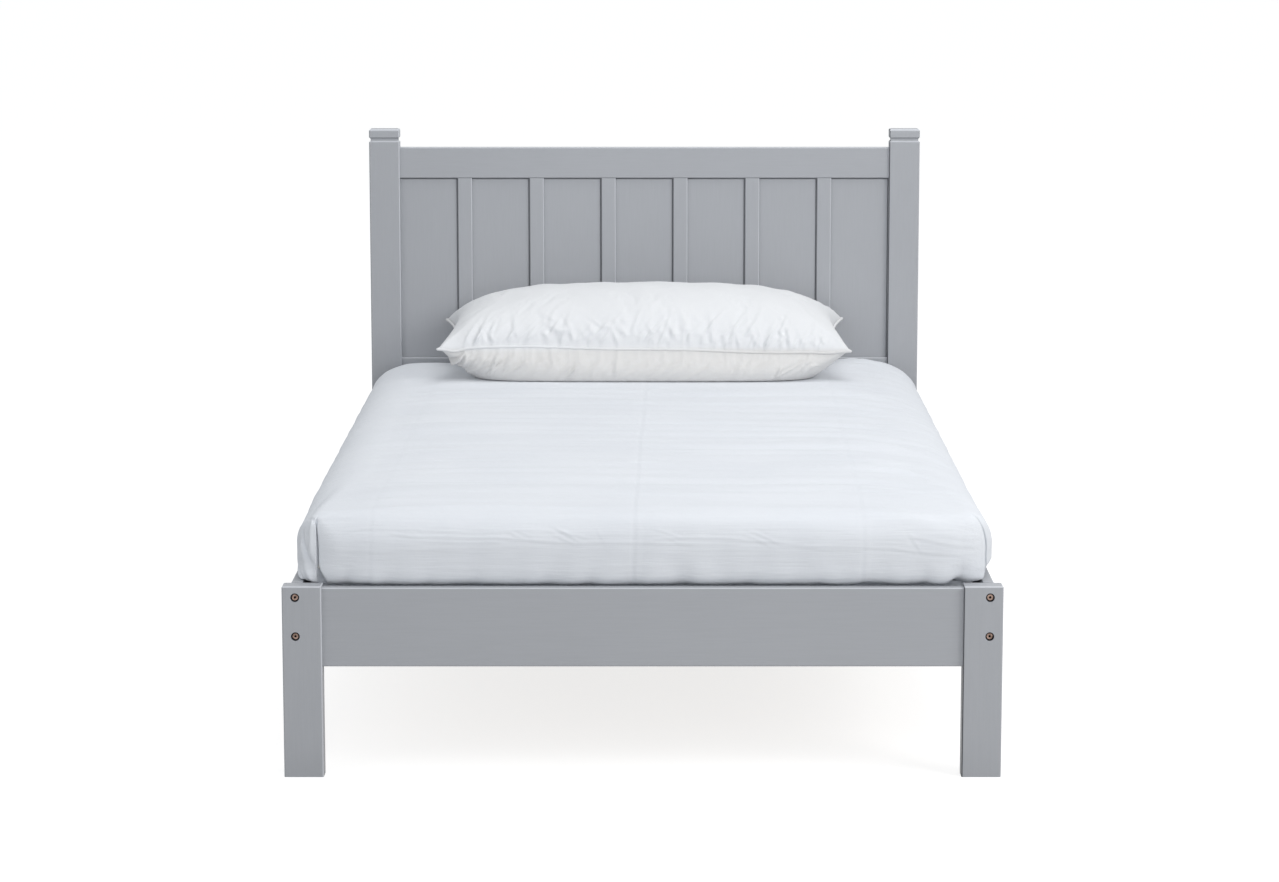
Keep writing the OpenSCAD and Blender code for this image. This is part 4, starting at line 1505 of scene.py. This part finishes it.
@dataclass
class Pillow:
    """Large pillow in a plain case with a piped seam, laid on the sheet.

    Its envelope is worked out, and the cloth solver, which blows up a flat case of the same cut, gives its
    wrinkles. Its plan is that of the pillow's solid, a little nearer the foot.
    """

    body: str = "pillow"
    box: tuple[Array, Array] = field(default_factory=lambda: node_box("pillow"))
    sheet_top: float = field(default_factory=lambda: node_box("sheet")[1][2])
    above_sheet: float = 0.0004
    nearer: float = 0.0165
    height: float = 0.1945
    seam_front: float = 0.068
    seam_back: float = 0.091
    seam_dips: tuple[Swell, Swell] = (Swell(-0.418, 0.022, -0.006), Swell(0.405, 0.03, -0.003))
    waist_side: float = 0.030
    waist_long: float = 0.014
    fill: float = 0.37
    fill_under: float = 0.75
    sink: float = 2.7
    flattened: float = 0.003
    belly: float = 0.047
    columns: int = 300
    rows: int = 136
    cord: float = 0.0029
    cord_out: float = 0.002

    cut_wider: float = 1.045
    cut_deeper: float = 1.30
    cut_height: float = 0.02
    frames: int = 24
    deepest: float = 0.0035
    front_folds: tuple[Puckers, ...] = (
        Puckers(23, 130, 0.0056, 0.25),
        Puckers(41, 16, 0.0070, -0.35, (-0.21, -0.01), 0.025, 1.9, 0.030),
        Puckers(43, 9, 0.0070, 0.30, (0.03, 0.14), 0.025, 1.9, 0.034),
    )
    back_folds: Puckers = Puckers(29, 60, 0.003, 0.0)
    under_folds: Puckers = Puckers(37, 150, 0.0085, -1.0, wider=1.2)
    end_folds: tuple[EndFold, ...] = (
        EndFold(-0.405, 0.5, 0.003), EndFold(-0.375, 0.35, 0.004), EndFold(-0.335, 0.25, 0.003))

    @property
    def width(self) -> float:
        """Width from tip to tip."""
        return round(self.box[1][0] - self.box[0][0], 6)

    @property
    def depth(self) -> float:
        """Depth from seam to seam."""
        return round(self.box[1][1] - self.box[0][1], 6)

    @property
    def middle(self) -> float:
        """Place of the middle along the bed."""
        return (self.box[0][1] + self.box[1][1]) / 2 - self.nearer

    @property
    def floor(self) -> float:
        """Height at which the pillow rests on the sheet."""
        return self.sheet_top + self.above_sheet

    def places(self) -> tuple[Array, Array]:
        """Places over a panel, closer together near the seam.

        Returns:
            Place u along the panel and v across it, from -1 to 1.
        """
        even = [np.linspace(-1, 1, count + 1) for count in (self.columns, self.rows)]
        u, v = (e * s + (1 - e) * np.sin(s * math.pi / 2) for s, e in zip(even, (0.5, 0.3)))
        return np.meshgrid(u, v)

    def rise(self, fill: float) -> Array:
        """Share of the full height over a panel: 1 - |u|^3 to the power of the fill, times root 1 - v^2."""
        u, v = self.places()
        return np.clip(1 - np.abs(u) ** 3, 0, 1) ** fill * np.sqrt(np.clip(1 - v * v, 0, 1))

    def plan(self) -> tuple[Array, Array]:
        """Plan of a panel: u and v times half the size, less the waists times 1 - v^2 and 1 - u^2.

        Returns:
            Positions across and along the bed, from the pillow's middle.
        """
        u, v = self.places()
        return (u * (self.width / 2 - self.waist_side * (1 - v * v)),
                v * (self.depth / 2 - self.waist_long * (1 - u * u)))

    def seam_height(self) -> Array:
        """Height of the seam's surface, which rises towards the back and dips before its front tips.

        Returns:
            Height over the sheet at each place of a panel.
        """
        x, _ = self.plan()
        _, v = self.places()
        front = np.clip(-v, 0, 1) ** 2
        wave = 0.0055 * np.sin(-5.2 * x)
        for dip in self.seam_dips:
            wave = wave + dip.at(x)
        middle, half = (self.seam_front + self.seam_back) / 2, (self.seam_back - self.seam_front) / 2
        return middle + v * half + front * wave + 0.0015 * np.sin(17 * x) * v * v

    def sewn(self, upper: Array, lower: Array, flat: Array) -> tuple[Array, Array, Array]:
        """Joins two panels along their border.

        Args:
            upper: Points of the upper panel, by row and column.
            lower: Points of the lower panel. Those on its border aren't used.
            flat: Cloth coordinates of a panel.

        Returns:
            The points, the quads and the cloth coordinates.
        """
        aside = 0.013
        rows, columns = upper.shape[:2]
        border = np.zeros((rows, columns), bool)
        border[[0, -1]] = border[:, [0, -1]] = True
        under = np.arange(rows * columns).reshape(rows, columns)
        under[~border] = under.size + np.arange((~border).sum())
        quads = grid_faces(rows, columns, False)
        return (np.concatenate([upper.reshape(-1, 3), lower[~border]]),
                np.concatenate([quads, under.ravel()[quads][:, ::-1]]),
                np.concatenate([flat.reshape(-1, 2), flat[~border] + aside]))

    def seam(self) -> Array:
        """Point numbers of the seam, once round."""
        grid = np.arange((self.columns + 1) * (self.rows + 1)).reshape(self.rows + 1, self.columns + 1)
        return np.concatenate([grid[0, :-1], grid[:-1, -1], grid[-1, :0:-1], grid[:0:-1, 0]])

    def blown_up(self) -> Array:
        """Blows up a flat case, with every second place of the panels, with the cloth solver.

        Returns:
            The wrinkles of its two panels: how far each place stands over the softened panel, capped.
        """
        x, y = (grid[::2, ::2] for grid in self.plan())
        high = self.cut_height * self.rise(self.fill)[::2, ::2]
        flat = [np.stack([x * self.cut_wider, y * self.cut_deeper, high * way], -1) for way in (1, -1)]
        points, quads, _ = self.sewn(*flat, flat[0][..., :2])
        piece = make_piece("pillow_try", points, quads)
        cloth = piece.modifiers.new("fill", "CLOTH")
        settings = {
            "quality": 5, "mass": 0.25, "air_damping": 2.0, "tension_stiffness": 20,
            "compression_stiffness": 14, "shear_stiffness": 5, "bending_stiffness": 0.12,
            "tension_damping": 6, "compression_damping": 6, "shear_damping": 6,
            "use_pressure": True, "uniform_pressure_force": 5.0,
        }
        for key, value in settings.items():
            setattr(cloth.settings, key, value)
        cloth.settings.effector_weights.gravity = 0
        cloth.collision_settings.use_collision = False
        cloth.point_cache.frame_end = self.frames
        for number in range(1, self.frames + 1):
            bpy.context.scene.frame_set(number)
        shaped = piece.evaluated_get(bpy.context.evaluated_depsgraph_get())
        blown = np.zeros(len(points) * 3, np.float32)
        shaped.data.vertices.foreach_get("co", blown)
        bpy.context.scene.frame_set(1)
        bpy.data.objects.remove(piece, do_unlink=True)
        height = blown.reshape(-1, 3)[:, 2].astype(float)
        upper = height[:x.size].reshape(x.shape)
        lower = upper.copy()
        lower[1:-1, 1:-1] = height[x.size:].reshape(x.shape[0] - 2, x.shape[1] - 2)
        log.info("pillow: case blown up")
        return np.stack([refined(np.clip(panel - softened(panel, 8), -self.deepest, self.deepest))
                         for panel in (upper, lower)])

    def smooth_panels(self) -> tuple[Array, Array]:
        """The two panels without wrinkles.

        The upper one stands off the seam by the rise. The lower one bulges out and sinks by the rise until
        it lies flat, where an exponential keeps it just off the sheet.

        Returns:
            Points of the upper and of the lower panel.
        """
        x, y = self.plan()
        u, _ = self.places()
        seam = self.seam_height()
        upper = seam + (self.height - (self.seam_front + self.seam_back) / 2) * self.rise(self.fill)
        sunk = self.sink * self.rise(self.fill_under)
        lower = seam * (1 - sunk)
        least = self.flattened
        lower = np.where(lower < least, least * np.exp((lower - least) / least), lower)
        out = self.belly * np.sin(0.62 * math.pi * np.clip(sunk, 0, 1)) * (1 - 0.15 * u * u) * (1 - u ** 6)
        y_low = y + out * np.clip(y / 0.1, -1, 1)
        return (np.stack([x, y + self.middle, upper + self.floor], -1),
                np.stack([x, y_low + self.middle, lower + self.floor], -1))

    def wrinkled(self, panel: Array, wrinkle: Array, way: int) -> Array:
        """Lifts a panel's wrinkles off it, along its normals.

        Args:
            panel: Points of the smooth panel.
            wrinkle: Heights from the cloth solver.
            way: 1 for the upper panel and -1 for the lower.

        Returns:
            Points of the panel.
        """
        rise = self.rise(self.fill)
        x, y = panel[..., 0], panel[..., 1]
        step = np.linalg.norm(np.diff(panel, axis=0), axis=-1)
        front = np.concatenate([np.zeros((1, x.shape[1])), np.cumsum(step, 0)])
        lift = way * wrinkle * (1 - 0.6 * ease(rise, 0.8, 1.0))
        if way > 0:
            lift = lift + self.back_folds.at(x, front[-1] - front)
            for folds in (*self.front_folds, *self.end_folds):
                lift = lift + folds.at(x, front)
            lift = lift + 0.0012 * rise * ripples(x + 0.4 * y, y, 31, 14, 0.05, 0.15, 1.5)
        else:
            shown = ease(panel[..., 2] - self.floor, 0.002, 0.015)
            lift = (lift + self.under_folds.at(x, front)) * shown
        near = ease(rise, 0.0, 0.20)[..., None]
        return panel + lift[..., None] * way * outward(panel) * near

    def panels(self) -> tuple[Array, Array]:
        """Returns:
            Points of the upper and of the lower panel.
        """
        upper, lower = self.smooth_panels()
        blown = self.blown_up()
        return self.wrinkled(upper, blown[0], 1), self.wrinkled(lower, blown[1], -1)

    def make(self) -> bpy.types.Object:
        """Makes the pillow and its piping.

        Returns:
            The pillow.
        """
        points, quads, flat = self.sewn(*self.panels(), np.stack(self.plan(), -1))
        pillow = make_piece("pillow_case", points, quads, flat)
        # Below the seam the cotton takes painted shade on the pillow's underside.
        cotton = Cotton("pillow_cotton", (0.800, 0.812, 0.830), (0.750, 0.762, 0.782), rumple=0.0013,
                        below=self.floor + self.seam_front - 0.001).material()
        pillow.data.materials.append(cotton)
        path = points[self.seam()]
        centre = np.array([0.0, self.middle, 0.0])
        grown = 2 * self.cord_out * np.array([1 / self.width, 1 / self.depth, 0.0])
        path = path + (path - centre) * grown
        piping = tube("pillow_piping", path, self.cord)
        piping.data.materials.append(cotton)
        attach(pillow, self.body)
        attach(piping, self.body)
        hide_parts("pillow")
        log.info("pillow: %d faces", len(pillow.data.polygons))
        return pillow


# The studio


@dataclass
class Studio:
    """Pale floor, soft lamps, a plain world and the camera.

    The eye, the pitch below level, the lens and the shift were found by fitting the bed's corners to those
    in the photograph. The seen floor is its glow, the lit floor its tone under that glow, and the floor's
    tone what lights the bed.
    """

    eye: tuple[float, float, float] = (0.0136, -6.7044, 1.5907)
    pitch: float = 8.4606
    lens: float = 93.5545
    shift: tuple[float, float] = (-0.00844, -0.06)
    seen_floor: float = 0.78
    lit_floor: float = 0.46
    floor_tone: float = 0.50
    world: float = 0.50
    sky: tuple[float, float, float, float] = (0.95, 0.975, 1.0, 1.0)
    floor_half: float = 60.0

    def camera(self) -> None:
        """Puts the camera where the photograph's was."""
        data = bpy.data.cameras.new("camera")
        data.sensor_width, data.lens, data.sensor_fit = 36.0, self.lens, "HORIZONTAL"
        data.shift_x, data.shift_y = self.shift
        data.clip_end = 200.0
        camera = bpy.data.objects.new("camera", data)
        camera.location = self.eye
        camera.rotation_euler = (math.radians(90 - self.pitch), 0, 0)
        bpy.context.scene.collection.objects.link(camera)
        bpy.context.scene.camera = camera

    def lamp(self, name: str, place: tuple, aim: tuple, size: float, power: float, colour: Colour) -> None:
        """Adds a square lamp.

        Args:
            name: Its name.
            place: Its position.
            aim: The point that it faces.
            size: Its side.
            power: Its power in watts.
            colour: Its colour.
        """
        data = bpy.data.lights.new(name, "AREA")
        data.energy, data.size, data.color = power, size, colour
        made = bpy.data.objects.new(name, data)
        made.location = place
        away = np.array(place) - np.array(aim)
        tilt, turn = math.acos(away[2] / np.linalg.norm(away)), math.atan2(away[1], away[0])
        made.rotation_euler = (tilt, 0, turn + math.pi / 2)
        bpy.context.scene.collection.objects.link(made)

    def floor(self) -> None:
        """Adds the floor: it glows to the camera and in reflections, and still takes the bed's shadow."""
        points = self.floor_half * np.array([[-1, -1, 0], [1, -1, 0], [1, 1, 0], [-1, 1, 0]], float)
        ground = make_piece("floor", points, np.array([[0, 1, 2, 3]]))
        bench = Bench("floor")
        matt = bench.wire("ShaderNodeBsdfDiffuse", {}, {"Color": (self.floor_tone,) * 3 + (1,)})
        dim = bench.wire("ShaderNodeBsdfDiffuse", {}, {"Color": (self.lit_floor,) * 3 + (1,)})
        glow = bench.wire("ShaderNodeEmission", {}, {"Color": (1, 1, 1, 1), "Strength": self.seen_floor})
        both = bench.wire("ShaderNodeAddShader", {}, {0: dim, 1: glow})
        direct = bench.rays("Camera", "Glossy", "Transmission")
        shown = bench.wire("ShaderNodeMixShader", {}, {0: direct, 1: matt, 2: both})
        bench.node("ShaderNodeOutputMaterial", {}, {"Surface": shown})
        ground.data.materials.append(bench.made)

    def air(self) -> None:
        """Sets the world: plain light, and white where the camera or a reflection sees it."""
        bench = Bench("world", "worlds")
        plain = bench.wire("ShaderNodeBackground", {}, {"Color": self.sky, "Strength": self.world})
        white = bench.wire("ShaderNodeBackground", {}, {"Color": (1, 1, 1, 1), "Strength": 1.0})
        direct = bench.rays("Camera", "Glossy")
        shown = bench.wire("ShaderNodeMixShader", {}, {0: direct, 1: plain, 2: white})
        bench.node("ShaderNodeOutputWorld", {}, {"Surface": shown})
        bpy.context.scene.world = bench.made

    def set_up(self) -> None:
        """Sets up the floor, the world, the lamps and the view transform."""
        self.floor()
        self.air()
        self.lamp("key", (3.3, -2.6, 2.7), (0.0, 0.2, 0.55), 2.0, 72.0, (1.0, 0.99, 0.975))
        self.lamp("fill", (-3.2, -2.8, 2.0), (0.0, 0.0, 0.45), 2.4, 16.0, (0.97, 0.985, 1.0))
        self.lamp("front", (0.9, -6.5, 2.1), (0.0, 0.0, 0.4), 3.2, 56.0, (1.0, 1.0, 1.0))
        self.lamp("overhead", (0.6, 0.2, 4.4), (0.0, 0.0, 0.4), 3.0, 57.0, (1.0, 1.0, 1.0))
        bpy.context.scene.view_settings.view_transform = "Standard"
        log.info("studio: ready")


def main() -> None:
    """Builds and dresses the bed."""
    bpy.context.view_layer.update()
    studio = Studio()
    studio.camera()
    TimberFrame().dress()
    Mattress().make()
    TuckedSheet().make()
    Pillow().make()
    studio.set_up()


if __name__ == "__main__":
    main()
